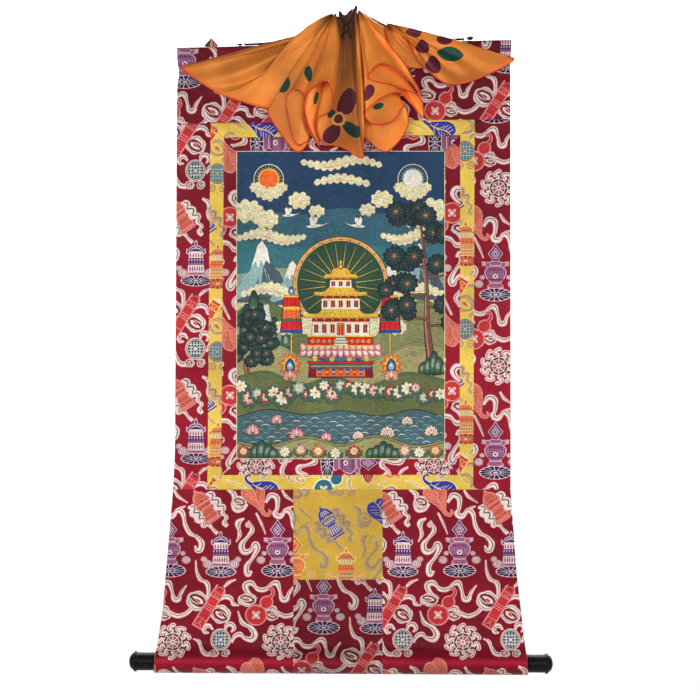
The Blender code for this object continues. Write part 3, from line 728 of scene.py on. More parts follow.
def unevenly_dyed(material, *textures):
    """Every area's own dye, made darker and lighter by two textures, each between two shares."""
    thread = node(material, "ShaderNodeAttribute")
    thread.attribute_name = "thread"
    both = node(material, "ShaderNodeMath")
    both.operation = "MULTIPLY"
    for entry, (source, low, high) in enumerate(textures):
        shade = node(material, "ShaderNodeMapRange", From_Min=0.3, From_Max=0.7, To_Min=low, To_Max=high)
        join(material, source, "Fac", shade, "Value")
        join(material, shade, "Result", both, entry)
    lit = node(material, "ShaderNodeVectorMath")
    lit.operation = "SCALE"
    join(material, thread, "Color", lit, "Vector")
    join(material, both, "Value", lit, "Scale")
    join(material, lit, "Vector", shader_of(material), "Base Color")


def figured_cloth(name, gloss, sheen, lustre, slub_scale, unevenness):
    """Cloth whose every woven area carries its own dye, with slubs, soft fading and a fine twill."""
    cloth = new_material(name, gloss, sheen, 0.2, lustre)
    slubs = texture(cloth, "Noise", (0.35, 1.0, 1.6), Scale=slub_scale, Detail=4.0, Roughness=0.7)
    fading = texture(cloth, "Noise", Scale=14.0, Detail=3.0, Roughness=0.6)
    unevenly_dyed(cloth, (slubs, 1 - unevenness, 1 + unevenness), (fading, 0.84, 1.16))
    twill = texture(cloth, "Wave", Scale=320.0, Distortion=1.2, Detail=2.0, Detail_Scale=3.0)
    twill.bands_direction = "DIAGONAL"
    uneven = raised_by(cloth, slubs, 0.35, 0.0003)
    raised_by(cloth, twill, 0.3, 0.0002, uneven)
    return cloth


def cotton_lining():
    """Plain dull red cotton behind the brocade."""
    cotton = new_material("cotton_lining", 0.85, 0.1, 0.2)
    weave = texture(cotton, "Noise", Scale=700.0, Detail=3.0)
    dyed_by(cotton, weave, (78, 20, 26), (112, 34, 38), 0.3, 0.7)
    raised_by(cotton, weave, 0.4, 0.0003)
    return cotton


RED_BROCADE = figured_cloth("red_silk_brocade", 0.44, 0.05, 0.32, 800.0, 0.4)
LINING = cotton_lining()

# ------------------------------------------------------------------ the mount
# Panels of brocade are cut, lined with cotton and sewn edge to edge. Each is woven here as one closed
# sheet whose front is cut up along its figures, and hangs a little unevenly between slat and rod.
CLOTH = 1.6  # brocade with its backing
GAP = 0.3  # between two solids
RELIEF = 0.16  # how far the floating wefts stand proud of the ground
SEAM_LAP = 0.2  # each panel reaches this far into its seam, so that no light shows through
SEAM_DIP = 0.45  # the cloth turns down into a seam over its last millimetre
TOP_SEAM = {"x": -207.6, "z": -164.1, "slope": 0.0144}
LOW_SEAM_Z = -713.3
DOOR_SEAM_Z = -848.4
LEFT_EDGE = (  # z, x
    (-38, -258.0), (-70, -257.5), (-88, -255.0), (-108, -257.8), (-234, -258.8), (-654, -261.0),
    (-713, -264.0), (-893, -279.5), (-955, -289.0), (-1000, -293.0),
)
RIGHT_EDGE = (
    (-38, 243.8), (-77, 242.3), (-713, 242.3), (-844, 252.0), (-955, 265.0), (-1000, 268.8),
)
# each frame's outside: left x, right x, left z, right z of its top and its low side
YELLOW_FRAME = {"top": (-207.6, 188.5, -164.1, -158.4), "low": (-212.5, 186.2, -713.3, -713.3)}
RED_FRAME = {"top": (-187.5, 167.1, -185.1, -181.4), "low": (-192.0, 165.9, -691.5, -691.5)}
PICTURE = {"top": (-168.9, 144.0, -205.5, -205.5), "low": (-168.9, 144.0, -667.5, -667.5)}
DOOR_LEFT, DOOR_RIGHT = -83.4, 50.3
WAVES = (  # height, wavelength across, wavelength down, phase
    (0.9, 430.0, 1500.0, 0.4),
    (0.6, 260.0, 620.0, 2.1),
    (0.4, 170.0, -350.0, 1.0),
)
WAVE_FADE = 60.0
SLAT_THICK, SLAT_HEIGHT, SLAT_HEM = 4.0, 20.0, 34.0
SLAT_LEAD, SLAT_FOOT = 10.0, 4.0  # the cloth leans out this far under the slat, until it lies on its foot
ROD_RADIUS = 15.0
ROD_Z = {"x": 0.0, "z": -972.9, "slope": -0.006}
ROLL_RADIUS = ROD_RADIUS + GAP + CLOTH / 2
ROLL_TURN = math.radians(48)
CREASE_ABOVE = 34.0  # the cloth goes in to the rod this far over the rod's middle
SLEEVE_HEM = 12.0
SIDE_STEP = 9.0  # the sides of a panel are cut at least so often, its ground every GROUND_STEP
GROUND_STEP = 18
TURNED_EDGE = 1.3  # how wide the cloth turns over at a panel's edge


def edge_x(edge, z):
    """The x of a side edge at those heights."""
    return np.interp(-np.asarray(z, float), [-row[0] for row in edge], [row[1] for row in edge])


def wave(x, z):
    """How far out the hanging cloth stands there."""
    below_slat = along(TOP_EDGE, x) - SLAT_HEM - z
    above_rod = z - along(ROD_Z, x) - CREASE_ABOVE
    near = np.clip(np.minimum(below_slat, above_rod) / WAVE_FADE, 0.0, 1.0)
    height = sum(h * np.sin(2 * math.pi * (x / wide + z / deep) + turn) for h, wide, deep, turn in WAVES)
    return near * near * (3 - 2 * near) * height


def arc(centre_z, radius, start, stop, steps):
    """out, z along an arc. Angles start at the front and go up."""
    angles = np.linspace(start, stop, steps + 1)
    return [(radius * math.cos(a), centre_z + radius * math.sin(a)) for a in angles]


def bend(start, start_way, stop, stop_way, steps):
    """out, z along a smooth bend between two places, without its ends."""
    start, stop = np.array(start), np.array(stop)
    reach = np.linalg.norm(stop - start)
    points = []
    for t in np.linspace(0, 1, steps + 1)[1:-1]:
        straight = start * (1 + 2 * t) * (1 - t) ** 2 + stop * t * t * (3 - 2 * t)
        leave = np.array(start_way) * reach * t * (1 - t) ** 2
        arrive = np.array(stop_way) * reach * t * t * (1 - t)
        points.append(tuple(straight + leave - arrive))
    return points


def sleeve_section():
    """out, z past the crease: in to the rod, round it and up behind, with z from the rod's centre."""
    meets = ROLL_RADIUS * math.cos(ROLL_TURN), ROLL_RADIUS * math.sin(ROLL_TURN)
    way = math.sin(ROLL_TURN), -math.cos(ROLL_TURN)
    start, back = (0.0, CREASE_ABOVE), (-(CLOTH + GAP), CREASE_ABOVE)
    into = bend(start, (0, -1), meets, way, 14)
    around = arc(0.0, ROLL_RADIUS, ROLL_TURN, -math.pi - ROLL_TURN, 60)
    up = bend(around[-1], (way[0], -way[1]), back, (0, 1), 14)
    return np.array([start] + into + around + up + [back, (back[0], CREASE_ABOVE + SLEEVE_HEM)])


def slat_section():
    """out, z from under the slat over it and down behind, with z from the middle of its top round."""
    reach = SLAT_THICK / 2 + GAP + CLOTH / 2
    foot, turn = -SLAT_HEIGHT + SLAT_FOOT, -SLAT_HEIGHT - SLAT_LEAD
    behind = -(CLOTH + GAP)
    rise = bend((0.0, turn), (0, 1), (reach, foot), (0, 1), 10) + [(reach, foot)]
    fall = bend((-reach, foot), (0, -1), (behind, turn), (0, -1), 10)
    hem = [(behind, turn), (behind, reach + CLOTH / 2 - SLAT_HEM - 6.0)]
    over = arc(0.0, reach, 0.0, math.pi, 16)
    return np.array([(0.0, turn)] + rise + over + [(-reach, foot)] + fall + hem)


SLEEVE, HEAD = sleeve_section(), slat_section()
SLEEVE_RUN, HEAD_RUN = run_along(SLEEVE), run_along(HEAD)
SLEEVE_LENGTH, HEAD_LENGTH = float(SLEEVE_RUN[-1]), float(HEAD_RUN[-1])


def flat_cloth(x, y):
    """The panels between slat and rod."""
    return np.stack([x, wave(x, y), y], axis=1)


def sleeve_cloth(x, y):
    """The lower panels. Below the crease, y goes on as the length of cloth."""
    crease = along(ROD_Z, x) + CREASE_ABOVE
    past = np.clip(crease - y, 0.0, None)
    out = np.where(past > 0, np.interp(past, SLEEVE_RUN, SLEEVE[:, 0]), wave(x, y))
    z = np.where(past > 0, along(ROD_Z, x) + np.interp(past, SLEEVE_RUN, SLEEVE[:, 1]), y)
    return np.stack([x, out, z], axis=1)


def head_turn(x):
    """Where the top panel leaves the plane, and where the round over the slat has its middle."""
    centre = along(TOP_EDGE, x) - (SLAT_THICK / 2 + GAP + CLOTH / 2) - CLOTH / 2
    return centre - SLAT_HEIGHT - SLAT_LEAD, centre


def head_cloth(x, y):
    """The top panel. Above its turn, y goes on as the length of cloth."""
    turn, centre = head_turn(x)
    past = np.clip(y - turn, 0.0, None)
    out = np.where(past > 0, np.interp(past, HEAD_RUN, HEAD[:, 0]), wave(x, y))
    z = np.where(past > 0, centre + np.interp(past, HEAD_RUN, HEAD[:, 1]), y)
    return np.stack([x, out, z], axis=1)


def inside(outline, points):
    """Which points lie inside an outline."""
    x, y = points[:, 0], points[:, 1]
    turns = np.zeros(len(points), int)
    for (ax, ay), (bx, by) in zip(outline, np.roll(outline, -1, axis=0)):
        if ay != by:
            crosses = ((ay > y) != (by > y)) & (x < ax + (y - ay) * (bx - ax) / (by - ay))
            turns += np.where(crosses, 1 if by > ay else -1, 0)
    return turns != 0


def from_outline(outline, points):
    """How far each point is from an outline."""
    least = np.full(len(points), 1e9)
    for a, b in zip(outline, np.roll(outline, -1, axis=0)):
        way = b - a
        share = np.clip((points - a) @ way / (way @ way + 1e-12), 0.0, 1.0)
        least = np.minimum(least, np.linalg.norm(points - a - share[:, None] * way, axis=1))
    return least


def subdivided(outline, step):
    """An outline with its sides cut into pieces of about that length."""
    points = []
    for a, b in zip(outline, np.roll(outline, -1, axis=0)):
        parts = max(1, round(np.linalg.norm(b - a) / step))
        points += [a + (b - a) * k / parts for k in range(parts)]
    return np.array(points)


def moved_in(outline, by):
    """A clockwise outline drawn in by that much."""
    ahead = np.roll(outline, -1, axis=0) - outline
    ahead /= np.linalg.norm(ahead, axis=1)[:, None]
    back = np.roll(ahead, 1, axis=0)
    lean = np.stack([ahead[:, 1] + back[:, 1], -ahead[:, 0] - back[:, 0]], axis=1)
    scale = (lean * np.stack([ahead[:, 1], -ahead[:, 0]], axis=1)).sum(axis=1)
    return outline + lean * by / np.clip(scale, 0.3, None)[:, None]


def triangulated(loops, lines, dots):
    """Triangles that keep every loop and line as edges."""
    points, edges = [], []
    for loop in loops:
        first = len(points)
        points += loop.tolist()
        edges += [(first + k, first + (k + 1) % len(loop)) for k in range(len(loop))]
    for a, b in lines:
        edges.append((len(points), len(points) + 1))
        points += [tuple(a), tuple(b)]
    points += [tuple(dot) for dot in dots]
    found = delaunay_2d_cdt([Vector(point) for point in points], edges, [], 0, 1e-4, False)
    flat = np.array([(v.x, v.y) for v in found[0]])
    return flat, np.array([face for face in found[2]])


def repeats(cloth, outline, x, y, turn=0, flip=1):
    """The areas of a cloth's repeat wherever they reach into an outline. A pavilion's middle lies at
    x, y, and the cloth is turned by so many quarters to the left, then turned over if flip is -1."""
    outline = np.asarray(outline, float)
    low, high = outline.min(axis=0), outline.max(axis=0)
    wide, tall = (REPEAT_WIDE, REPEAT_HIGH) if turn % 2 == 0 else (REPEAT_HIGH, REPEAT_WIDE)
    laid = [(colour, turned(area, 90 * turn) * (1, flip)) for colour, area in cloth.areas]
    areas = []
    for i in range(math.floor((low[0] - x) / wide) - 1, math.ceil((high[0] - x) / wide) + 2):
        for j in range(math.floor((low[1] - y) / tall) - 1, math.ceil((high[1] - y) / tall) + 2):
            shift = np.array((x + i * wide, y + j * tall))
            for colour, area in laid:
                moved = area + shift
                if (moved.max(axis=0) > low).all() and (moved.min(axis=0) < high).all():
                    areas.append((colour, moved))
    return areas


def uncovered(areas):
    """The areas without those that a later one hides whole."""
    lows = np.array([area.min(axis=0) for _, area in areas])
    highs = np.array([area.max(axis=0) for _, area in areas])
    kept = []
    for k, (colour, area) in enumerate(areas):
        over = np.nonzero((lows[k + 1:] <= lows[k]).all(axis=1) & (highs[k + 1:] >= highs[k]).all(axis=1))[0]
        if not any(inside(areas[k + 1 + j][1], area).all() for j in over):
            kept.append((colour, area))
    return kept


def colours_of(areas, dyes, middles):
    """The dye of each triangle and how far it floats, by the topmost area over its middle."""
    colour = np.tile(np.array(dyes["ground"]), (len(middles), 1))
    raised = np.zeros(len(middles))
    by_x = np.argsort(middles[:, 0])
    sorted_x = middles[by_x, 0]
    for name, area in areas:
        low, high = area.min(axis=0), area.max(axis=0)
        near = by_x[slice(*np.searchsorted(sorted_x, (low[0], high[0])))]
        near = near[(middles[near, 1] > low[1]) & (middles[near, 1] < high[1])]
        if len(near):
            hit = near[inside(area, middles[near])]
            colour[hit] = dyes[name]
            raised[hit] = RELIEF
    return colour, raised


def lifted(surface, flat, off):
    """Points of the flat cloth on its hanging surface, off millimetres from its middle, in metres."""
    x, y = flat[:, 0], flat[:, 1]
    here = world(surface(x, y))
    across = world(surface(x + 0.05, y)) - world(surface(x - 0.05, y))
    up = world(surface(x, y + 0.05)) - world(surface(x, y - 0.05))
    way = np.cross(across, up)
    way /= np.linalg.norm(way, axis=1)[:, None] + 1e-12
    return here + way * np.asarray(off)[:, None] * MM


def rim_loop(faces):
    """The vertices round the edge of a patch of triangles, in order."""
    ahead = {}
    sides = np.vstack([faces[:, [0, 1]], faces[:, [1, 2]], faces[:, [2, 0]]])
    keys = {(int(a), int(b)) for a, b in sides}
    for a, b in keys:
        if (b, a) not in keys:
            ahead[a] = b
    start = next(iter(ahead))
    loop = [start]
    while ahead[loop[-1]] != start:
        loop.append(ahead[loop[-1]])
    return loop


def cut_along(outline, loops, lines, grid, areas, dyes):
    """The flat face of a sheet, cut along its loops and lines: its points and triangles, then the
    middle and dye of each triangle and how far its weft floats."""
    flat, faces = triangulated(loops, lines, grid)
    middles = flat[faces].mean(axis=1)
    kept = inside(outline, middles)
    faces, middles = faces[kept], middles[kept]
    colour, raised = colours_of(areas, dyes, middles)
    used, faces = np.unique(faces, return_inverse=True)
    return flat[used], faces.reshape(-1, 3), middles, colour, raised


def woven_panel(name, outline, areas, dyes, surface, materials, lines=(), relief=1.0, satin=None):
    """A closed sheet of figured cloth: its woven face, a plain back and the turned edge between.
    satin, where given, paints highlight and shade by height on the ground and the figures."""
    outline = subdivided(np.asarray(outline, float), SIDE_STEP)
    inner = moved_in(outline, TURNED_EDGE)
    low, high = outline.min(axis=0), outline.max(axis=0)
    across, up = (np.arange(low[k] + 5, high[k], GROUND_STEP) for k in (0, 1))
    grid = [(x, y) for x in across for y in up]
    cuts = [subdivided(area, GROUND_STEP) for _, area in areas]
    flat, faces, _, colour, raised = cut_along(outline, [outline, inner] + cuts, lines, grid, areas, dyes)
    float_out = np.full(len(flat), RELIEF)
    for corner in range(3):
        np.minimum.at(float_out, faces[:, corner], raised)
    near = np.clip(from_outline(outline, flat) / TURNED_EDGE, 0.0, 1.0)
    front = lifted(surface, flat, CLOTH / 2 + float_out * relief * near - SEAM_DIP * (1 - near) ** 2)
    loop = rim_loop(faces)
    reverse, back_faces = triangulated([flat[loop]], lines, grid)
    back_faces = back_faces[inside(flat[loop], reverse[back_faces].mean(axis=1))]
    kept = np.union1d(np.arange(len(loop)), back_faces)
    reverse, back_faces = reverse[kept], np.searchsorted(kept, back_faces)
    back = lifted(surface, reverse, np.full(len(reverse), -CLOTH / 2))
    first, around = len(front), len(loop)
    rim = [(loop[k], loop[k - 1], first + (k - 1) % around, first + k) for k in range(around)]
    quads = [tuple(face) for face in faces] + [tuple(face[::-1] + first) for face in back_faces] + rim
    panel = new_piece(name, np.vstack([front, back]), quads, *materials)
    mesh = panel.data
    slots = np.zeros(len(quads), int)
    slots[len(faces):] = 1
    mesh.polygons.foreach_set("material_index", slots)
    thread = mesh.color_attributes.new("thread", "FLOAT_COLOR", "CORNER")
    rest = 3 * len(back_faces) + 4 * len(rim)
    colour = np.repeat(colour, 3, axis=0)
    # Painted light: where it is given, the dyes are made lighter and darker by height.
    if satin is not None:
        heights = surface(flat[:, 0], flat[:, 1])[faces.ravel(), 2]
        colour[:, :3] *= satin(heights, np.repeat(raised, 3) > 0)[:, None]
    corners = np.vstack([colour, np.tile(np.array(dyes["ground"]), (rest, 1))])
    thread.data.foreach_set("color", corners.ravel())
    mesh.set_sharp_from_angle(angle=math.radians(40))
    return panel


def declare(panel, outline, node_name):
    """Let a sewn panel stand in for its node: the node is hidden and the panel attached."""
    outline = np.asarray(outline, float)
    ahead = np.roll(outline, -1, axis=0)
    wide, high = np.ptp(outline, axis=0)
    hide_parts(node_name)
    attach(panel, "root")


def corners(sides):
    """A frame's corners: top left, top right, low right, low left."""
    left, right, left_z, right_z = sides["top"]
    low_left, low_right, low_left_z, low_right_z = sides["low"]
    places = (left, left_z), (right, right_z), (low_right, low_right_z), (low_left, low_left_z)
    return np.array(places)


def side_points(edge, low, high, surface, count):
    """An outer side of the mount from its low to its high end, as x and length of cloth."""
    y = np.linspace(low, high, count)
    x = np.full(count, edge[4][1], float)
    return np.stack([edge_x(edge, surface(x, y)[:, 2]), y], axis=1)


# Painted light: a painted highlight along the front of the roll, painted shade under the roll and in the crease
# above it, and the cloth painted darker towards the top.
PAINTED_LIGHT_BY_HEIGHT = (  # z, how light the crimson ground is painted there, how light the figures are painted
    (-1000.0, 0.4, 0.55), (-984.0, 0.5, 0.62), (-976.0, 1.15, 0.84), (-969.0, 1.6, 0.96), (-962.0, 1.1, 1.0),
    (-951.0, 0.72, 0.95), (-930.0, 0.9, 1.0), (-900.0, 1.0, 1.0), (-714.0, 1.0, 1.0), (-712.0, 1.36, 0.98),
    (-420.0, 1.3, 0.94), (-300.0, 0.86, 0.86), (-165.0, 0.7, 0.84), (-150.0, 0.6, 0.82), (0.0, 0.56, 0.8),
)


def painted_light_by_height(z, raised):
    """Painted light by height: the ground is painted lighter or darker as the table gives, the figures less."""
    levels = [row[0] for row in PAINTED_LIGHT_BY_HEIGHT]
    ground, figures = (np.interp(z, levels, [row[k] for row in PAINTED_LIGHT_BY_HEIGHT]) for k in (1, 2))
    return np.where(raised, figures, ground)


def red_panel(name, outline, areas, surface=flat_cloth, lines=(), painted_shade=1.0):
    """A panel of the red brocade, its dyes darkened by painted_shade as painted shade."""
    materials = (RED_BROCADE, LINING)
    dyes = {thread: tuple(np.multiply(colour, painted_shade)) for thread, colour in RED_DYES.items()}
    panel = woven_panel(f"{name}_brocade", outline, areas, dyes, surface, materials, lines, satin=painted_light_by_height)
    declare(panel, outline, name)
    return panel


def top_outline():
    """The top panel, with its hem over the slat."""
    low = [along(TOP_SEAM, edge[4][1]) - SEAM_LAP for edge in (LEFT_EDGE, RIGHT_EDGE)]
    high = [head_turn(edge[0][1])[0] + HEAD_LENGTH for edge in (LEFT_EDGE, RIGHT_EDGE)]
    left = side_points(LEFT_EDGE, low[0], high[0], head_cloth, 24)
    right = side_points(RIGHT_EDGE, low[1], high[1], head_cloth, 24)
    return np.vstack([left, right[::-1]])


def side_outline(edge, top_x, low_x):
    """A full-length side panel between its outer edge and the yellow frame."""
    inner = np.array([(top_x, along(TOP_SEAM, top_x) + SEAM_LAP), (low_x, LOW_SEAM_Z - SEAM_LAP)])
    outer_top = along(TOP_SEAM, edge_x(edge, inner[0, 1])) + SEAM_LAP
    outer = side_points(edge, LOW_SEAM_Z - SEAM_LAP, outer_top, flat_cloth, 20)
    if edge is LEFT_EDGE:
        return np.vstack([outer, inner + (SEAM_LAP, 0)])
    return np.vstack([(inner - (SEAM_LAP, 0))[::-1], outer[::-1]])


def lower_outline(left, right, z_top):
    """A lower panel with its sleeve. left and right are an outer edge or the x of a seam."""
    z_top += SEAM_LAP
    sides = []
    for side, inset in ((left, -SEAM_LAP), (right, SEAM_LAP)):
        x = side if isinstance(side, float) else side[4][1]
        foot = along(ROD_Z, x) + CREASE_ABOVE - SLEEVE_LENGTH
        if isinstance(side, float):
            sides.append(np.array([(x + inset, foot), (x + inset, z_top)]))
        else:
            sides.append(side_points(side, foot, z_top, sleeve_cloth, 44))
    return np.vstack([sides[0], sides[1][::-1]])


def across(level, lengths):
    """Lines over the whole mount, each that much further along the cloth than level(x)."""
    return [((-300.0, level(-300.0) + far), (300.0, level(300.0) + far)) for far in lengths]


SLEEVE_LINES = across(lambda x: along(ROD_Z, x) + CREASE_ABOVE, -SLEEVE_RUN[:-1:2])
HEAD_LINES = across(lambda x: head_turn(x)[0], HEAD_RUN[:-1:2])
yellow = corners(YELLOW_FRAME)
outline = top_outline()
left_cloth = repeats(BROCADE_REPEAT, outline, -169.0, -74.0)
right_cloth = repeats(BROCADE_REPEAT, outline, 238.5, -51.0)
pieced = [(colour, area) for colour, area in left_cloth if area[:, 0].max() < 0.0]
pieced += [(colour, area) for colour, area in right_cloth if area[:, 0].min() > 0.0]
pieced.append(("plain", box(-198.0, -78.0, -120.0, 60.0)))  # a let-in strip with no figures
red_panel("top_panel", outline, pieced, head_cloth, HEAD_LINES)
outline = side_outline(LEFT_EDGE, yellow[0, 0], yellow[3, 0])
red_panel("side_left", outline, repeats(BROCADE_REPEAT, outline, -229.5, -370.5))
outline = side_outline(RIGHT_EDGE, yellow[1, 0], yellow[2, 0])
red_panel("side_right", outline, repeats(BROCADE_REPEAT, outline, 134.75, -393.0))
for name, left, right, z_top, x, y in (
    ("lower_left", LEFT_EDGE, DOOR_LEFT, LOW_SEAM_Z, -192.0, -807.0),
    ("lower_centre", DOOR_LEFT, DOOR_RIGHT, DOOR_SEAM_Z, 39.0, -892.5),
    ("lower_right", DOOR_RIGHT, RIGHT_EDGE, LOW_SEAM_Z, 81.0, -807.0),
):
    outline = lower_outline(left, right, z_top)
    areas = repeats(BROCADE_REPEAT, outline, x, y)
    painted_shade = 0.72 if name == "lower_centre" else 1.0  # painted shade: this panel's sheen lies another way, so its dyes are painted darker
    red_panel(name, outline, areas, sleeve_cloth, SLEEVE_LINES, painted_shade)


def frame_strips(outer, inner):
    """The outlines of four strips with mitred corners between two frames, with their names."""
    for k, side in enumerate(("top", "right", "low", "left")):
        after = (k + 1) % 4
        yield side, moved_in(np.array([outer[k], outer[after], inner[after], inner[k]]), -SEAM_LAP)


INNER_CUT = {  # each strip was cut from the cloth another way round: x, y of a pavilion, quarter turns
    "top": (-110.0, -108.0, 3), "right": (207.0, -660.0, 2),
    "low": (-4.5, -588.3, 3), "left": (-126.0, -399.6, 2),
}
for side, outline in frame_strips(corners(RED_FRAME), corners(PICTURE)):
    red_panel(f"inner_red_{side}", outline, repeats(BROCADE_REPEAT, outline, *INNER_CUT[side]))

# ------------------------------------------------------------------ the yellow frame and the door
# The frame round the picture and the square door under it are cut from the same brocade on a gold
# satin ground, with taupe ribbons and blue, orange and red emblems.
GOLD_DYES = {
    "ground": dye(238, 202, 84),
    "cream": dye(206, 172, 126),
    "line": dye(150, 122, 84),
    "blush": dye(246, 208, 118),
    "lilac": dye(250, 214, 130),
    "coral": dye(220, 70, 50),
    "salmon": dye(54, 58, 160),
    "rust": dye(238, 222, 170),
    "violet": dye(216, 90, 48),
    "mauve": dye(236, 140, 70),
    "navy": dye(196, 50, 44),
    "teal": dye(44, 124, 154),
    "black": dye(104, 78, 62),
}
DOOR_DYES = dict(GOLD_DYES, ground=dye(214, 172, 66), cream=dye(180, 152, 110), blush=dye(206, 172, 102))
LOW_DYES = dict(GOLD_DYES, coral=dye(40, 112, 134), cream=dye(232, 206, 166), blush=dye(250, 232, 190))
GOLD_BROCADE = figured_cloth("gold_silk_brocade", 0.46, 0.05, 0.25, 800.0, 0.24)
GOLD_CUT = {  # x, y of a pavilion, quarter turns, and -1 where the cloth is turned over
    "top": (-211.5, -226.0, 3, -1), "right": (174.9, -608.0, 0),
    "low": (56.5, -765.6, 3, -1), "left": (-196.6, -375.0, 0),
}


def gold_panel(name, outline, areas, dyes):
    materials = (GOLD_BROCADE, LINING)
    panel = woven_panel(f"{name}_brocade", outline, areas, dyes, flat_cloth, materials)
    declare(panel, outline, name)


for side, outline in frame_strips(corners(YELLOW_FRAME), corners(RED_FRAME)):
    dyes = LOW_DYES if side == "low" else GOLD_DYES
    gold_panel(f"yellow_{side}", outline, repeats(BROCADE_REPEAT, outline, *GOLD_CUT[side]), dyes)
door = {
    "top": (DOOR_LEFT, DOOR_RIGHT, LOW_SEAM_Z, LOW_SEAM_Z),
    "low": (DOOR_LEFT, DOOR_RIGHT, DOOR_SEAM_Z, DOOR_SEAM_Z),
}
outline = moved_in(corners(door), -SEAM_LAP)
gold_panel("door_patch", outline, repeats(BROCADE_REPEAT, outline, -4.5, -831.0), DOOR_DYES)

# ------------------------------------------------------------------ the picture
# The picture is woven like a tapestry, in silk and some gold thread: a temple on a lotus seat before
# a dark green halo, under sun and moon, with snow peaks, clouds, trees, a waterfall and a lotus pond.
PICTURE_DYES = {
    "ground": dye(62, 118, 128),
    "deep": dye(40, 68, 100),
    "sky": dye(58, 100, 116),
    "haze": dye(144, 160, 138),
    "dawn": dye(206, 202, 148),
    "cream": dye(236, 226, 182),
    "shell": dye(224, 200, 152),
    "rose": dye(228, 150, 134),
    "grey": dye(136, 138, 112),
    "snow": dye(244, 238, 222),
    "ice": dye(146, 182, 182),
    "slate": dye(80, 94, 106),
    "halo": dye(50, 82, 64),
    "moss": dye(108, 116, 72),
    "grass": dye(140, 142, 96),
    "olive": dye(170, 160, 108),
    "pine": dye(42, 58, 60),
    "fern": dye(78, 108, 88),
    "gold": dye(240, 196, 72),
    "amber": dye(204, 136, 46),
    "red": dye(214, 42, 46),
    "wine": dye(136, 24, 44),
    "orange": dye(240, 110, 48),
    "pink": dye(240, 156, 164),
    "plum": dye(128, 66, 106),
    "blue": dye(36, 84, 152),
    "water": dye(78, 108, 116),
    "bark": dye(132, 88, 66),
    "ink": dye(30, 32, 42),
}


def puffs(wide, high, count, turn=0.0):
    """A round clump of lobes."""
    return lobed(oval(0, 0, wide, high, turn, count), 0.42, 4)


def curl_line(x, y, size, turn, flip=1):
    """A short spiral, as in the heart of a cloud."""
    angle = np.linspace(0, 1.6 * math.pi, 12)
    radius = size * (1 - 0.62 * angle / angle[-1])
    line = np.stack([radius * np.cos(angle) * flip, radius * np.sin(angle)], axis=1)
    return band(turned(line, turn) + (x, y), (size * 0.12, size * 0.22, size * 0.12))


def cloud(wide, high, count=9):
    """A bank of cloud: a puffed body outlined in a darker silk, with curls and a shaded foot."""
    bank = Figures()
    bank.nest(
        puffs(wide, high, count),
        ("grey", 1.04), ("cream", 1), ("shell", 0.74, 0, -high * 0.2), ("cream", 0.66, 0, -high * 0.08))
    for dx, dy, turn, flip in (
        (-0.5, 0.1, 30, -1), (0.45, 0.15, 150, 1), (-0.05, 0.42, 80, -1), (0.1, -0.35, 200, 1),
    ):
        bank.add("grey", curl_line(dx * wide, dy * high, min(wide, high) * 0.3, turn, flip))
    return bank


def leafy(wide, high):
    """The leaves behind a flower."""
    leaves = Figures()
    leaves.add("pine", puffs(wide * 1.07, high * 1.09, 8))
    leaves.add("fern", puffs(wide, high, 8))
    return leaves


def streamer_cloud(points, thick):
    """A long drifting cloud with a puffed upper edge."""
    drift = Figures()
    line = curve_through(points, 4)
    widths = thick * np.sin(np.linspace(0.12, math.pi - 0.12, len(line)))
    rise = np.stack([0 * widths, widths], axis=1)
    outline = lobed(np.vstack([line - 0.4 * rise, (line + rise)[::-1]]), 0.35, 4)
    drift.add("grey", outline + (0, 0.7), outline - (0, 0.7))
    drift.add("cream", outline)
    drift.add("rose", band(line - 0.05 * rise, (0.5, thick * 0.34, 0.5)))
    drift.add("cream", band(line, (0.3, thick * 0.16, 0.3)))
    return drift


def lotus(size, outside, inside_dye):
    """An open lotus seen from the side."""
    flower = Figures()
    upright = ring_through([(0, 0), (0.3, 0.55), (0, 1.15), (-0.3, 0.55)], 3) * size
    for k in (-3, 3, -2, 2, -1, 1, 0):
        petal = turned(upright * (1.0, 1 - 0.07 * abs(k)), -27 * k)
        flower.nest(petal, ("wine", 1.14), (outside, 1), (inside_dye, 0.55, 0, -0.05 * size))
    return flower


def bloom(size, petals, outside, heart):
    """A many-petalled flower seen from above, its inner petals set between the outer ones."""
    flower = Figures()
    for ahead, share, under, over in ((0, 1.0, "wine", outside), (0.5, 0.66, outside, "cream")):
        for k in range(petals):
            petal = oval(size * 0.58 * share, 0, size * 0.44 * share, size * 0.26 * share, sides=9)
            flower.nest(turned(petal, 360 * (k + ahead) / petals), (under, 1.12), (over, 1))
    flower.disc(heart, 0, 0, size * 0.22, size * 0.22, sides=8)
    return flower


def lotus_row(y, half, count, size):
    """The petals of a lotus seat, turned down and up."""
    row = Figures()
    petal = ring_through([(-0.42, 0), (0, 0.04), (0.42, 0), (0.36, 0.62), (0, 1.05), (-0.36, 0.62)], 3)
    for flip, under, dyed, over in ((-1, "wine", "pink", "snow"), (1, "plum", "rose", "cream")):
        for k in range(count):
            x = -half + 2 * half * (k + 0.5) / count
            leaning = turned(petal * (size, size * flip), -34 * x / half * flip) + (x, y)
            row.nest(leaning, (under, 1.16), (dyed, 1.0, 0), (over, 0.55))
    return row


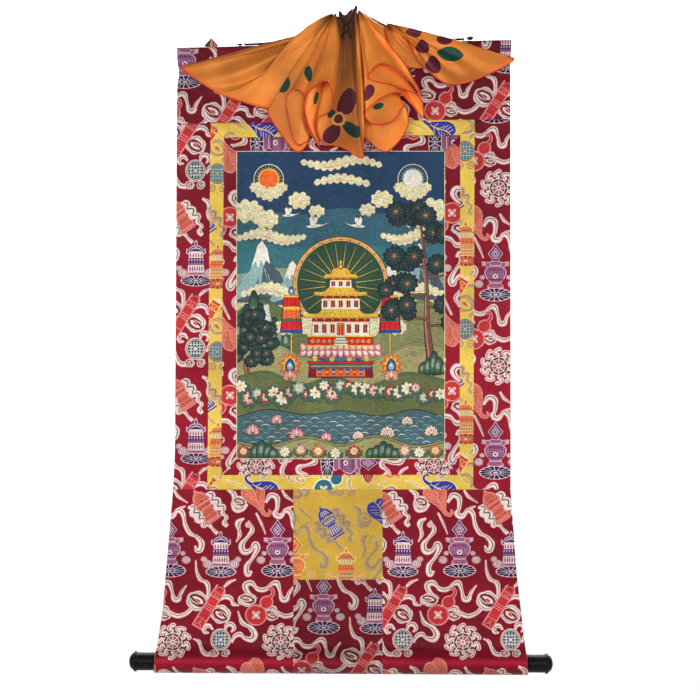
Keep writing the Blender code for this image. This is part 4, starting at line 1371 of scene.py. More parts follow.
def jewel(size, flames=True):
    """A wish-granting jewel in a ring of flames."""
    stone = Figures()
    if flames:
        tips = []
        for k in range(13):
            angle = math.pi * (-0.15 + 1.3 * k / 12)
            reach = size * (2.0 if k % 2 == 0 else 1.35)
            tips.append((reach * math.cos(angle), reach * 1.2 * math.sin(angle)))
        tips += [(-size * 0.8, -size * 0.9), (size * 0.8, -size * 0.9)]
        stone.nest(ring_through(tips, 3), ("wine", 1.05), ("orange", 1), ("gold", 0.72))
    drop = ring_through([(0, 1.25), (0.8, 0.2), (0.6, -0.8), (-0.6, -0.8), (-0.8, 0.2)]) * size
    for colour, share, lift in (("ink", 1.08, 0), ("blue", 1.0, 0), ("ice", 0.62, -0.1), ("snow", 0.26, 0.1)):
        stone.nest(drop, (colour, share, 0, lift * size))
    return stone


def leaf_whorl(size, turn):
    """A dark clump of leaves seen from above: a scalloped rim, bright ribs and a rosy heart."""
    clump = Figures()
    outer = oval(0, 0, size * 1.1, size * 0.92, turn, 11)
    clump.add("ink", lobed(shrunk(outer, 1.08), 0.4, 3))
    clump.add("pine", lobed(outer, 0.4, 3))
    rib = box(size * 0.34, -0.5, size * 0.94, 0.5, 0.25)
    for k in range(11):
        clump.add("fern" if k % 3 else "water", turned(rib, 360 * k / 11 + turn) * (1, 0.84))
    clump.add("bark", lobed(oval(0, 0, size * 0.3, size * 0.24, turn, 5), 0.5, 3))
    clump.disc("rose", 0, 0, size * 0.14, size * 0.12, sides=6)
    return clump


def tree(high, lean, size, rng):
    """A tree with a twisting trunk and whorls of dark leaves at the ends of its limbs."""
    grown = Figures()
    bends = [(0, 0), (lean * 0.1 - 5, high * 0.28), (lean * 0.7 + 4, high * 0.55), (lean, high)]
    trunk = curve_through(bends, 6)
    grown.add("ink", band(trunk, (size * 1.1, size * 0.8, size * 0.5, size * 0.3)))
    grown.add("bark", band(trunk, (size * 0.9, size * 0.64, size * 0.36, size * 0.16)))
    grown.add("rose", band(trunk - (size * 0.16, 0), (size * 0.14, size * 0.1, size * 0.08, 0.3)))
    crowns = []
    for share, side in (  # how far up the trunk each limb starts, and to which side it goes
        (0.36, 1), (0.42, -1), (0.54, 1), (0.62, -1), (0.74, 1), (0.82, -1), (0.94, 1), (1.0, -1), (1.0, 0),
    ):
        root = trunk[int((len(trunk) - 1) * share)]
        reach = high * (0.36 - 0.16 * share)
        tip = root + (side * reach * rng.uniform(0.8, 1.1), high * rng.uniform(0.02, 0.08))
        limb = curve_through([root, (root + tip) / 2 + (0, -0.3 * size), tip], 4)
        grown.add("ink", band(limb, (size * 0.4, size * 0.26, size * 0.16)))
        grown.add("bark", band(limb, (size * 0.28, size * 0.16, size * 0.08)))
        crowns += [tip, (root + tip) / 2 + (0, size * 0.6)]
    for middle in crowns:
        for _ in range(2):
            x, y = middle + rng.uniform(-0.7, 0.7, 2) * size
            grown.put(leaf_whorl(size * rng.uniform(0.8, 1.1), rng.uniform(0, 90)), x, y)
    return grown


def scalloped(half, low, top, count):
    """A strip of cloth whose lower edge falls in scallops."""
    share = np.linspace(0, 1, 5 * count + 1)
    fall = 2 * half / count * 0.4 * np.abs(np.sin(math.pi * count * share))
    edge = np.stack([-half + 2 * half * share, low - fall], axis=1)
    return np.vstack([edge, [(half, top), (-half, top)]])


def banner(high):
    """A round standard of three frilled skirts on a gilded pole, with a jewel at its top."""
    hung = Figures()
    wide = high * 0.16
    hung.bars("ink", (1.6, 0, high, 0.3))
    hung.bars("gold", (1.0, 0, high, 0.2))
    for k, (cloth, frill) in enumerate((("red", "blue"), ("orange", "fern"), ("red", "gold"))):
        low = high * (0.34 + 0.18 * k)
        top = low + high * 0.2
        half = wide * (1.0 - 0.1 * k)
        skirt = np.array([(-half, low), (half, low), (half * 0.86, top), (-half * 0.86, top)])
        hung.nest(skirt, ("ink", 1.12), (cloth, 1))
        for fold in (-0.5, 0.0, 0.5):
            hung.add("wine", box(fold * half - 0.35, low, fold * half + 0.35, top, 0.1))
        hung.add(frill, scalloped(half, low, low + 3.4, 6))
        hung.bars("gold", (half * 0.9, top - 1.4, top + 0.6))
    hung.put(jewel(wide * 0.36, False), 0, high * 0.98)
    return hung


def altar(half, high):
    """A low table under an orange cloth with a scalloped fall, set with bowls, fruit and a vase."""
    table = Figures()
    table.bars("ink", (half + 3, 0, high, 2.0))
    table.bars("wine", (half + 2, 1, high - 1, 2.0))
    table.bars("orange", (half * 0.8, 2, high - 3, 1.0))
    for k in range(7):
        x = -half * 0.68 + half * 1.36 * k / 6
        table.add("red" if k % 2 else "blue", box(x - 2.4, 4, x + 2.4, high * 0.6))
        table.add("gold", turned(box(-1.5, -1.5, 1.5, 1.5), 45) + (x, high * 0.36))
    drape = scalloped(half * 0.98, high * 0.66, high - 2, 12)
    table.add("ink", drape - (0, 0.8))
    table.add("water", drape)
    table.add("gold", band(np.array([(-half, high * 0.72), (half, high * 0.72)]), (0.8, 0.8)))
    table.bars("ink", (half + 4.4, high - 3, high + 1.4))
    table.bars("red", (half + 3.8, high - 2.4, high + 0.8))
    for k, fill in ((0, "snow"), (1, "orange"), (2, "pink"), (4, "pink"), (5, "orange"), (6, "snow")):
        x = -half * 0.84 + half * 1.68 * k / 6
        for dx, dy in ((-1.9, 0), (0, 1.2), (1.9, 0)):
            for colour, size, sides in (("wine", 2.1, 9), (fill, 1.6, 8)):
                table.disc(colour, x + dx, high + 6.2 + dy, size, size, sides=sides)
        bowl = np.array([
            (x - 2.2, high + 1), (x + 2.2, high + 1), (x + 4.4, high + 5.4), (x - 4.4, high + 5.4)])
        table.nest(bowl, ("ink", 1.14), ("blue" if k % 2 else "gold", 1))
    return table


def hill(points, body, edge, shade, strokes, rng):
    """A rounded hill with a darker rim and tufts of grass."""
    ground = Figures()
    crest = curve_through(points, 6)
    foot = np.array([(crest[-1, 0], -6.0), (crest[0, 0], -6.0)])
    ground.add(edge, np.vstack([crest + (0, 1.0), foot]))
    ground.add(body, np.vstack([crest, foot]))
    ground.add(shade, band(crest - (0, 3.4), (3.0, 4.0, 3.0)))
    ground.add(body, band(crest - (0, 5.4), (2.6, 3.4, 2.6)))
    for _ in range(strokes):
        k = rng.integers(2, len(crest) - 2)
        x, y = crest[k] - (rng.uniform(-4, 4), rng.uniform(7, 30))
        if y > 0:
            ground.add(shade, *[oval(x + 1.3 * d, y, 0.5, 2.0, -16 * d, 6) for d in (-1, 0, 1)])
    return ground


FLANK = (  # a mountain in shares of its width and height
    (-0.5, 0), (-0.3, 0.42), (-0.2, 0.5), (-0.07, 0.92), (0, 1), (0.09, 0.86), (0.2, 0.55), (0.28, 0.48),
    (0.5, 0),
)
LIT_FLANK = (
    (0, 1), (-0.07, 0.92), (-0.2, 0.5), (-0.3, 0.42), (-0.5, 0), (-0.14, 0.14), (-0.06, 0.4), (-0.04, 0.1),
    (0.03, 0.62),
)
SNOW_CROWN = (
    (0, 1), (-0.07, 0.92), (-0.17, 0.58), (-0.1, 0.66), (-0.06, 0.54), (-0.02, 0.7), (0.03, 0.58),
    (0.06, 0.68), (0.13, 0.62), (0.09, 0.86),
)


def peak(wide, high):
    """A snow mountain: a slate flank in shade, ice-blue ribs and a white crown."""
    mount = Figures()
    flank, lit, crown = (np.array(shape) * (wide, high) for shape in (FLANK, LIT_FLANK, SNOW_CROWN))
    mount.nest(flank, ("ink", 1.02), ("slate", 1))
    mount.add("ice", lit)
    mount.add("snow", crown)
    for k in range(4):
        start = np.array((wide * (0.04 + 0.06 * k), high * (0.55 - 0.1 * k)))
        mount.add("ice", band(np.array([start, start + (wide * 0.07, -high * 0.3)]), (1.6, 0.3)))
    return mount


def crag(wide, high, rng):
    """A blue-green rock of upright slabs, light on their left edges."""
    rock = Figures()
    half = wide * 0.15
    for k in range(5):
        x = wide * (k - 2) / 5 + rng.uniform(-1, 1)
        tall = high * (1 - 0.22 * abs(k - 2)) * rng.uniform(0.86, 1.0)
        slab = ring_through(
            [(x - half, 0), (x - half * 1.1, tall * 0.6), (x - half * 0.3, tall),
             (x + half * 0.7, tall * 0.9), (x + half * 1.1, tall * 0.5), (x + half, 0)], 3)
        lift = 0.02 * tall
        rock.nest(
            slab,
            ("ink", 1.08, 0, lift), ("halo", 1.0, 0, lift), ("fern", 0.74, -0.8, lift), ("haze", 0.4, -1.6, lift))
    return rock


def crane(size, flip=1):
    """A white crane in flight, its neck stretched and its wing tips black."""
    bird = Figures()
    far_wing = [(0.1, 0.1), (0.5, 0.9), (0.2, 1.5), (-0.1, 0.9), (-0.3, 0.2)]
    near_wing = [(0.2, 0.1), (-0.1, 1.0), (-0.7, 1.5), (-0.6, 0.8), (-0.4, 0.05)]
    body = [
        (1.9, 0.42), (1.1, 0.16), (0.5, 0.22), (-0.5, 0.1), (-1.1, -0.1), (-0.4, -0.26), (0.5, -0.16),
        (1.1, 0.04)]
    for points in (far_wing, body, near_wing):
        bird.nest(ring_through(points) * (size * flip, size), ("slate", 1.12), ("snow", 1))
    for x, y in ((0.2, 1.34), (-0.62, 1.3)):
        bird.add("ink", oval(x * size * flip, y * size, size * 0.14, size * 0.24, 20 * flip, 8))
    bird.disc("red", 1.8 * size * flip, 0.46 * size, size * 0.12, size * 0.08, sides=7)
    legs = np.array([(-1.0 * size * flip, -0.1 * size), (-1.8 * size * flip, -0.3 * size)])
    bird.add("bark", band(legs, (0.9, 0.5)))
    return bird


def roof(y, half, high, rise):
    """A gilded roof with upturned eaves, tiled in ribs."""
    cover = Figures()
    outline = ring_through(
        [(-half * 1.1, rise), (-half, 0), (0, -0.6), (half, 0), (half * 1.1, rise), (half * 0.7, high * 0.42),
         (half * 0.42, high), (-half * 0.42, high), (-half * 0.7, high * 0.42)])
    cover.nest(outline + (0, y), ("wine", 1.06), ("gold", 1))
    for k in range(-4, 5):
        rib = np.array([(half * 0.2 * k, y + 0.8), (half * 0.09 * k, y + high * 0.9)])
        cover.add("amber", band(rib, (0.9, 0.5)))
    cover.stroke("amber", [(-half, y + 1.0), (0, y + 0.4), (half, y + 1.0)], (1.0, 1.0))
    return cover


def storey(y, half, high, bays):
    """One storey: white walls, dark windows with red frames and a frieze of red and gold."""
    wall = Figures()
    wall.bars("ink", (half + 0.9, y, y + high, 1.2))
    wall.bars("snow", (half, y, y + high, 1.0))
    wall.bars("wine", (half - 0.8, y + high * 0.74, y + high))
    wall.bars("gold", (half - 0.8, y + high * 0.72, y + high * 0.77))
    pitch = 2 * half / bays
    for k in range(bays):
        x = -half + pitch * (k + 0.5)
        for colour, wide, low, top in (
            ("red", 0.27, 0.14, 0.62), ("ink", 0.17, 0.2, 0.55), ("gold", 0.03, 0.2, 0.55),
        ):
            wall.add(colour, box(x - pitch * wide, y + high * low, x + pitch * wide, y + high * top))
        wall.disc("orange", x, y + high * 0.88, pitch * 0.16, high * 0.07, sides=8)
    return wall


def temple():
    """Three gilded roofs over white storeys, on a red stair and a double lotus."""
    whole = Figures()
    whole.put(lotus_row(6.0, 58.0, 13, 11.0))
    whole.bars("wine", (50, 11, 27, 2.0))
    whole.bars("red", (48.6, 12, 26, 2.0))
    for k in range(11):
        for colour, half in (("gold", 2.1), ("blue" if k % 2 else "halo", 1.1)):
            whole.add(colour, turned(box(-half, -half, half, half), 45) + (-42 + 8.4 * k, 19))
    whole.bars("gold", (50, 25.4, 27.6), (50, 11, 12.8))
    for storey_sizes, roof_sizes in (
        ((27.6, 43.0, 27.0, 7), (54.0, 50.0, 15.0, 6.0)),
        ((67.0, 29.0, 21.0, 5), (87.6, 35.0, 13.0, 5.0)),
        ((99.4, 16.5, 15.0, 3), (114.0, 22.0, 14.0, 4.0)),
    ):
        whole.put(storey(*storey_sizes))
        whole.put(roof(*roof_sizes))
    for colour, half in (("wine", 2.6), ("gold", 1.7)):
        whole.disc(colour, 0, 131, half * 1.5, half * 1.8, sides=10)
        whole.disc(colour, 0, 137.5, half, half * 1.8, sides=9)
    for k in range(7):
        rise = 12.8 + 2.1 * k
        whole.bars("grey" if k % 2 else "snow", (10 - 0.7 * k, rise, rise + 2.1))
    whole.bars("wine", (5.6, 27.6, 46))
    whole.bars("gold", (4.6, 27.6, 44.6))
    whole.add("red", box(-3.9, 27.6, -0.4, 43.8), box(0.4, 27.6, 3.9, 43.8))
    return whole


def halo(radius):
    """The dark green glory, ringed with gold, with fine rays and a border of petals."""
    glory = Figures()
    for colour, share in (("wine", 1.09), ("gold", 1.075), ("rose", 1.045), ("gold", 1.01), ("halo", 0.995)):
        glory.disc(colour, 0, 0, radius * share, radius * share, sides=72)
    for k in range(48):
        ray = box(-0.55, radius * 0.35, 0.55, radius * (0.94 if k % 2 else 0.86), 0.4)
        glory.add("gold" if k % 2 else "fern", turned(ray, 7.5 * k))
    for k in range(30):
        glory.add("wine", turned(oval(0, radius * 1.028, 2.0, 0.9, sides=7), 12 * k))
    return glory


def sun_or_moon(radius, disc, rim):
    """A disc in a round window of deep sky, with a wreath of cloud under it."""
    light = Figures()
    for colour, share in (("cream", 1.62), ("grey", 1.55), ("deep", 1.5), (rim, 1.14), (disc, 1.0)):
        light.disc(colour, 0, 0, radius * share, radius * share, sides=40)
    for k in range(24):
        light.add(rim, turned(box(-0.5, radius * 1.18, 0.5, radius * 1.4, 0.4), 15 * k))
    for dx, dy, size in (
        (-1.35, -0.9, 0.6), (1.35, -0.9, 0.6), (-0.7, -1.4, 0.7), (0.7, -1.4, 0.7), (0, -1.6, 0.8),
    ):
        light.put(cloud(radius * size, radius * size * 0.72, 7), dx * radius, dy * radius)
    return light


def pond():
    """Green-blue water in rippled lines, with pads and open lotuses."""
    water = Figures()
    shore = curve_through([(-157, 62), (-110, 74), (-50, 66), (0, 72), (60, 64), (112, 74), (157, 62)], 6)
    bed = np.array([(157, 20), (110, 14), (40, 24), (-40, 18), (-110, 26), (-157, 18)])
    basin = np.vstack([shore, curve_through(bed, 5)])
    water.add("ink", basin + (0, 1.2), basin - (0, 1.2))
    water.add("water", basin)
    for row in range(7):
        for k in range(17):
            x = -150 + 18.6 * k + 9 * (row % 2)
            y = 24 + 6.2 * row + 1.5 * math.sin(x / 20)
            if abs(x) < 150 and y < 66:
                line = curve_through([(x - 6, y), (x - 2.5, y + 2.2), (x + 2.5, y + 2.2), (x + 6, y)], 3)
                water.add("ice" if (k + row) % 3 else "snow", band(line, (0.4, 1.1, 0.4)))
                water.add("slate", band(line - (0, 1.4), (0.4, 0.9, 0.4)))
    for x, y, size in (
        (-132, 40, 11), (-96, 56, 9), (-66, 34, 12), (70, 36, 12), (100, 54, 9), (136, 38, 11), (-22, 30, 9),
        (26, 32, 9),
    ):
        water.disc("ink", x, y, size * 1.3, size * 0.46)
        water.disc("moss", x, y, size * 1.22, size * 0.4)
        water.disc("fern", x, y - 0.4, size * 0.9, size * 0.2, sides=14)
        water.put(lotus(size, *(("pink", "snow") if x < 0 else ("snow", "rose"))), x, y)
    return water


def falls(low):
    """A waterfall in white and blue threads, with foam at its foot."""
    water = Figures()
    line = curve_through([(0, 0), (3, low / 2 + 10), (-2, low / 2 - 10), (1, low)], 6)
    water.add("slate", band(line, (9.0, 12.0, 15.0)))
    water.add("snow", band(line, (7.4, 10.4, 13.2)))
    for off in (-0.6, -0.2, 0.25, 0.62):
        water.add("ice" if off < 0 else "haze", band(line + (off * 6, 0), (0.7, 1.2, 0.9)))
    for dx in (-9, -4, 2, 8):
        water.put(cloud(6.5, 4.4, 7), dx, low - 1 + 0.2 * abs(dx))
    return water


def picture_figures():
    """The whole picture, from the sky behind to the flowers in front. x from its middle, y from its foot."""
    rng = np.random.default_rng(11)
    view = Figures()
    for level, colour in ((430, "deep"), (372, "sky"), (322, "ground"), (282, "haze"), (250, "dawn")):
        edge = [(x, level + 5 * math.sin(x / 23.0 + level)) for x in np.linspace(-160, 160, 30)]
        view.add(colour, edge + [(160, level - 75), (-160, level - 75)])
    view.add("deep", [(-160, 425), (160, 425), (160, 470), (-160, 470)])
    for x, y, wide, high in ((-118, 236, 92, 92), (118, 240, 88, 84), (-72, 232, 76, 66), (76, 232, 72, 64)):
        view.put(peak(wide, high), x, y)
    for points, thick in (
        ([(-156, 330), (-120, 336), (-84, 326), (-52, 334)], 9.0),
        ([(60, 336), (92, 326), (126, 338), (157, 330)], 9.0),
        ([(-150, 246), (-110, 254), (-70, 244), (-40, 250)], 10.0),
        ([(44, 250), (80, 242), (118, 254), (157, 246)], 10.0),
        ([(-60, 446), (-20, 438), (24, 448), (62, 440)], 7.0),
        ([(-40, 414), (0, 420), (44, 412)], 6.0),
    ):
        view.put(streamer_cloud(points, thick))
    for x, y, wide, high, count in (
        (-140, 372, 22, 13, 9), (-112, 360, 17, 11, 8), (138, 374, 22, 13, 9), (110, 362, 18, 11, 8),
        (-62, 388, 15, 10, 8), (62, 390, 15, 10, 8), (-36, 372, 11, 7, 7), (40, 374, 11, 7, 7),
    ):
        view.put(cloud(wide, high, count), x, y)
    far_left = [(-170, 210), (-120, 240), (-70, 214), (-20, 190)]
    far_right = [(10, 190), (70, 216), (126, 238), (172, 206)]
    temple_hill = [(-172, 168), (-110, 176), (-50, 152), (0, 146), (54, 152), (110, 174), (172, 162)]
    garden_hill = [(-172, 118), (-112, 132), (-60, 112), (-12, 124), (40, 110), (100, 130), (172, 114)]
    near_bank = [(-172, 30), (-110, 20), (-50, 34), (0, 22), (54, 36), (112, 20), (172, 32)]
    for part, x, y in (
        (sun_or_moon(14.0, "orange", "gold"), -108, 420), (sun_or_moon(14.0, "snow", "ice"), 108, 420),
        (crane(11.0), -40, 350), (crane(9.0), -78, 366), (crane(10.0, -1), 26, 350),
        (hill(far_left, "moss", "pine", "fern", 40, rng), 0, 0),
        (hill(far_right, "grass", "pine", "moss", 40, rng), 0, 0),
        (crag(56.0, 74.0, rng), -130, 176), (crag(40.0, 52.0, rng), -98, 166),
        (falls(-70), -112, 232), (halo(66.0), 0, 262),
    ):
        view.put(part, x, y)
    for side in (-1, 1):
        for dx, dy, wide, high in ((62, 208, 18, 11), (84, 198, 14, 9), (44, 196, 15, 9)):
            view.put(cloud(wide, high), side * dx, dy)
    for part, x, y in (
        (hill(temple_hill, "olive", "fern", "grass", 70, rng), 0, 0),
        (temple(), 0, 158), (banner(96.0), -74, 158), (banner(96.0), 74, 158),
        (tree(216.0, -16.0, 12.5, rng), 136, 140), (tree(84.0, 10.0, 8.5, rng), -138, 122),
        (crag(40.0, 34.0, rng), 140, 128),
        (hill(garden_hill, "moss", "pine", "fern", 80, rng), 0, 0),
        (jewel(8.5), -76, 140), (lotus(12.0, "rose", "cream"), -76, 121),
        (jewel(8.5), 76, 140), (lotus(12.0, "rose", "cream"), 76, 121), (altar(46.0, 24.0), 0, 122),
    ):
        view.put(part, x, y)
    for k in range(25):
        x = -150 + 12.5 * k
        size = rng.uniform(6.5, 10.5)
        outside, heart = (
            ("snow", "gold"), ("pink", "wine"), ("ice", "gold"), ("red", "gold"), ("snow", "orange"))[k % 5]
        y = 100 + rng.uniform(-9, 12)
        view.put(leafy(size * 1.3, size * 0.9), x, y - 3)
        view.put(bloom(size, 7, outside, heart), x, y)
    view.put(pond())
    view.put(hill(near_bank, "olive", "pine", "moss", 60, rng))
    for x in (-118, 64):
        view.put(crag(46.0, 26.0, rng), x, 2)
    for x, y, size, outside in (
        (-146, 12, 8.5, "red"), (-84, 11, 8.0, "snow"), (-60, 14, 8.0, "pink"), (-34, 12, 9.0, "orange"),
        (-8, 9, 8.0, "snow"), (20, 12, 9.0, "red"), (96, 13, 8.5, "pink"), (118, 10, 8.0, "snow"),
        (142, 13, 8.5, "orange"),
    ):
        view.put(leafy(size * 1.3, size * 0.7), x, y - 3)
        view.put(bloom(size, 8, outside, "gold"), x, y)
    return view


WEAVE_STEP = 0.09  # corners that stand out less than this are lost in the weave
SELVEDGE = 1.2


def eased(outline):
    """The outline without those of its odd corners that the weave can't show."""
    before, after = np.roll(outline, 1, axis=0), np.roll(outline, -1, axis=0)
    chord, off = after - before, outline - before
    out = np.abs(chord[:, 0] * off[:, 1] - chord[:, 1] * off[:, 0]) / (np.linalg.norm(chord, axis=1) + 1e-9)
    kept = (out > WEAVE_STEP) | (np.arange(len(outline)) % 2 == 0)
    return outline[kept] if kept.sum() > 4 else outline


def picture_panel():
    """The picture, with a pale selvedge round it where it meets the red frame."""
    outline = moved_in(corners(PICTURE), -SEAM_LAP)
    low, high = outline.min(axis=0), outline.max(axis=0)
    shift = np.array(((low[0] + high[0]) / 2, low[1]))
    areas = [(colour, eased(eased(area)) + shift) for colour, area in uncovered(picture_figures().areas)]
    (left, foot), (right, top) = low, high
    for sides in (
        (left, foot, left + SELVEDGE, top), (right - SELVEDGE, foot, right, top),
        (left, foot, right, foot + SELVEDGE), (left, top - SELVEDGE, right, top),
    ):
        areas.append(("cream", box(*sides)))
    tapestry = figured_cloth("picture_tapestry", 0.7, 0.05, 0.0, 520.0, 0.46)
    cloths = tapestry, LINING
    panel = woven_panel("woven_picture", outline, areas, PICTURE_DYES, flat_cloth, cloths, relief=0.4)
    declare(panel, outline, "picture_panel")


picture_panel()

# ------------------------------------------------------------------ the silk cover
# A light orange silk veil that can be let down over the picture. It is drawn up by its middle and
# tied to the hanging cord, so it falls in flutes between two wings. Its edge is overlocked in red,
# and it is printed with maroon and green flowers.
SILK = 0.8
NECK = {  # where each part is gathered: x, z, then how far out, a constant and a share of its middle's
    "wing_left": (-27.0, -22.0, 5.2, 0.15),
    "left": (-20.0, 1.0, 3.4, 0.65),
    "throat": (-6.0, 4.3, 1.2, 0.65),
    "peak": (3.5, 16.5, 1.2, 0.65),
    "shoulder": (9.5, 12.5, 19.0, 0.1),
    "right": (13.0, 4.2, 1.2, 0.65),
    "wing_right": (53.2, -14.0, 1.2, 0.65),
}
NECK_SPREAD = 0.08
FOLDS = (  # one edge or turn of a fold: neck, mid x, mid z, mid out, hem x, hem z, hem out
    ("wing_left", -140, -58, 11, -249, -82, 8), ("wing_left", -140, -49, 8, -254, -80, 6),
    ("wing_left", -130, -72, 6, -233, -96, 4.5), ("wing_left", -112, -87, 7, -194, -120, 4.5),
    ("left", -87, -45, 13, -142, -138, 7), ("left", -69, -69, 8, -102, -148, 5),
    ("left", -70, -64, 12, -121, -144, 12), ("left", -50, -108, 8, -76, -208, 8.5),
    ("left", -44, -102, 6, -60, -190, 6), ("left", -48, -102, 9.5, -76, -198, 12.5),
    ("left", -57, -66, 16, -92, -126, 18), ("left", -48, -63, 19, -78, -116, 24),
    ("left", -40, -69, 17, -67, -125, 22), ("left", -40, -84, 12, -67, -159, 17),
    ("left", -33, -106, 7, -44, -200, 10), ("left", -39, -90, 14, -62, -165, 19),
    ("left", -42, -69, 21, -65, -130, 27), ("left", -38, -62, 28, -50, -114, 36),
    ("left", -28, -60, 30, -36, -106, 39), ("left", -17, -62, 26, -27, -114, 35),
    ("left", -17, -72, 20, -27, -146, 27), ("left", -33, -87, 14, -48, -163, 20.5),
    ("throat", -21, -106, 9, -38, -195, 15), ("throat", -9, -106, 7.5, -12, -201, 17),
    ("peak", 8, -111, 9, 20, -218, 20), ("shoulder", 13, -105, 17, 21, -204, 23),
    ("right", 19, -99, 22, 22, -189, 25),
    ("right", 26, -105, 8, 28, -190, 12), ("right", 38, -111, 9.5, 55, -208, 14),
    ("right", 52, -93, 9.5, 88, -168, 13), ("right", 51, -78, 12, 82, -140, 15),
    ("right", 40, -87, 16, 63, -164, 21), ("right", 27, -92, 18, 34, -167, 24),
    ("right", 22, -84, 21, 24, -153, 26), ("right", 32, -74, 23, 45, -132, 30),
    ("right", 44, -68, 22, 71, -122, 30), ("right", 57, -72, 16, 93, -138, 20),
    ("right", 63, -78, 14, 110, -158, 15), ("right", 60, -66, 21, 106, -130, 25),
    ("right", 40, -60, 26, 66, -112, 33), ("right", 22, -56, 27, 28, -100, 34),
    ("right", 28, -45, 31, 46, -81, 40), ("right", 46, -51, 29, 82, -99, 38),
    ("right", 58, -62, 26, 109, -129, 30), ("right", 50, -42, 27, 82, -80, 30),
    ("right", 36, -22, 23, 56, -45, 28), ("right", 30, -8, 14, 52, -23, 17),
    ("wing_right", 58, -46, 8, 78, -78, 9), ("wing_right", 114, -44, 7, 182, -72, 6),
    ("wing_right", 147, -37, 8.5, 247, -68, 6.5), ("wing_right", 130, -54, 10, 208, -92, 7),
    ("wing_right", 104, -54, 13, 150, -107, 12), ("wing_right", 88, -42, 13, 112, -81, 13),
    ("wing_right", 75, -26, 12, 84, -40, 13),
)


def fold_rows():
    """Neck, middle and hem of every fold, each as x, out, z."""
    rows = []
    for neck, mid_x, mid_z, mid_out, hem_x, hem_z, hem_out in FOLDS:
        neck_x, neck_z, out_least, out_share = NECK[neck]
        start = (
            neck_x + (mid_x - neck_x) * NECK_SPREAD,
            out_least + out_share * mid_out,
            neck_z + (mid_z - neck_z) * NECK_SPREAD,
        )
        rows.append((*start, mid_x, mid_out, mid_z, hem_x, hem_out, hem_z))
    return np.array(rows, float)


FOLD_ROWS = fold_rows()
FOLD_KNOTS = run_along(FOLD_ROWS[:, 3:], 0.5)
HEM_AT = np.linspace(0, FOLD_KNOTS[-1], 4001)
HEM = between(FOLD_ROWS, FOLD_KNOTS, HEM_AT)[:, 6:]
HEM_RUN = run_along(HEM)
DROP = 130.0  # from the gather to the hem, in the flat veil
PAINTED_LIGHT_FOLDS = (0, 4, 6, 22, 26, 28, 46, 49, 53)  # painted light: how much lighter or darker the silk is painted, by the row of FOLDS
PAINTED_FOLD_LIGHT = (0.84, 0.88, 0.96, 1.02, 1.08, 1.24, 1.24, 0.96, 1.0)


def veil(s, t):
    """The hanging veil at s along its hem and t down its drop."""
    v = (np.clip(t, 0.0, DROP) / DROP)[:, None]
    lines = between(FOLD_ROWS, FOLD_KNOTS, np.interp(s, HEM_RUN, HEM_AT))
    neck, middle, hem = lines[:, :3], lines[:, 3:6], lines[:, 6:]
    return neck * (1 - v) * (1 - 2 * v) + middle * 4 * v * (1 - v) + hem * v * (2 * v - 1)


def fold_of(s):
    """Which row of FOLDS lies at s along the hem, as a number between them."""
    return np.interp(np.interp(s, HEM_RUN, HEM_AT), FOLD_KNOTS, np.arange(len(FOLD_KNOTS)))


def creased(s, t):
    """Creases in the veil: fine pleats at the gather, small ones down the flutes, wide on the wings."""
    near = (1 - t / DROP) ** 2
    pleats = 0.55 * near * np.sin(s / 3.1 + 1.5 * np.sin(s / 17.0))
    soft = 0.5 * np.sin(s / 9.0 + t / 23.0) * np.sin(t / 17.0 - s / 41.0)
    fold = fold_of(s)
    wing = 2.8 * np.clip(4.2 - fold, 0, 1) * np.clip(fold / 0.6, 0, 1) + 2.0 * np.clip(fold - 49.5, 0, 1)
    ahead = np.clip(fold - 48.0, 0, 1) + 0.35 * np.clip(5.0 - fold, 0, 1)  # clear of the top panel
    ridge = np.sin(s / 7.5 + 0.9 * np.sin(t / 26.0) - 0.6) - ahead
    return pleats + soft + wing * np.sin(math.pi * t / DROP) * ridge


def shaded(s, t, colour):
    """The colour there: painted shade, deep brown, where the folds are drawn up into the gather, deepest in the
    throat; a painted red glow near the overlocked hem; and each fold painted lighter or darker.
    """
    fold = fold_of(s)
    # Painted shade: towards the gather the colour goes over to the gather shadow, deepest in the throat between
    # the flutes.
    throat = np.clip((fold - 21.2) / 0.9, 0, 1) * np.clip((25.4 - fold) / 0.7, 0, 1)
    depth = np.where(throat > 0, 128.0 * throat + 20.0, 26.0)
    pale = np.clip(0.14 + 0.86 * (t / depth) ** 1.25, 0.0, 1.0)[:, None]
    gather = np.array(SILK_DYES_AND_SHADOW["gather"])
    # Painted glow: the silk is painted redder near the hem, for the light that comes through it there.
    rim = (0.55 * np.clip((t - DROP + 13.0) / 13.0, 0, 1))[:, None]
    # Painted light: each fold is painted lighter or darker.
    painted_brightness = np.interp(fold, PAINTED_LIGHT_FOLDS, PAINTED_FOLD_LIGHT)
    colour = colour * np.stack([painted_brightness, painted_brightness, painted_brightness, np.ones(len(painted_brightness))], axis=1)
    painted_glow = colour * (1 - rim) + colour * np.array((1.05, 0.62, 0.5, 1.0)) * rim
    return painted_glow * pale + gather * (1 - pale)


def on_veil(points):
    """Where points of the front view, x and z, lie in the flat veil, printed on its foremost fold there."""
    s, t = np.meshgrid(np.arange(1.0, HEM_RUN[-1], 1.0), np.linspace(2, DROP, 130))
    s, t = s.ravel(), t.ravel()
    place = veil(s, t)
    middle = points.mean(axis=0)
    off = place[:, [0, 2]] - middle
    near = np.nonzero((off**2).sum(axis=1) < 2.5)[0]
    front = near[np.argmax(place[near, 1])]
    window = min(max(np.abs(points - middle).max() * 0.6, 4.0), 10.0)
    around = (np.abs(s - s[front]) < window) & (np.abs(t - t[front]) < window)
    seen = np.column_stack([np.ones(around.sum()), off[around]])
    fit = np.linalg.lstsq(seen, np.stack([s[around], t[around]], axis=1), rcond=None)[0]
    printed = np.column_stack([np.ones(len(points)), points - middle]) @ fit
    return np.clip(printed, (1.5, 2.0), (HEM_RUN[-1] - 1.5, DROP - 1.5))


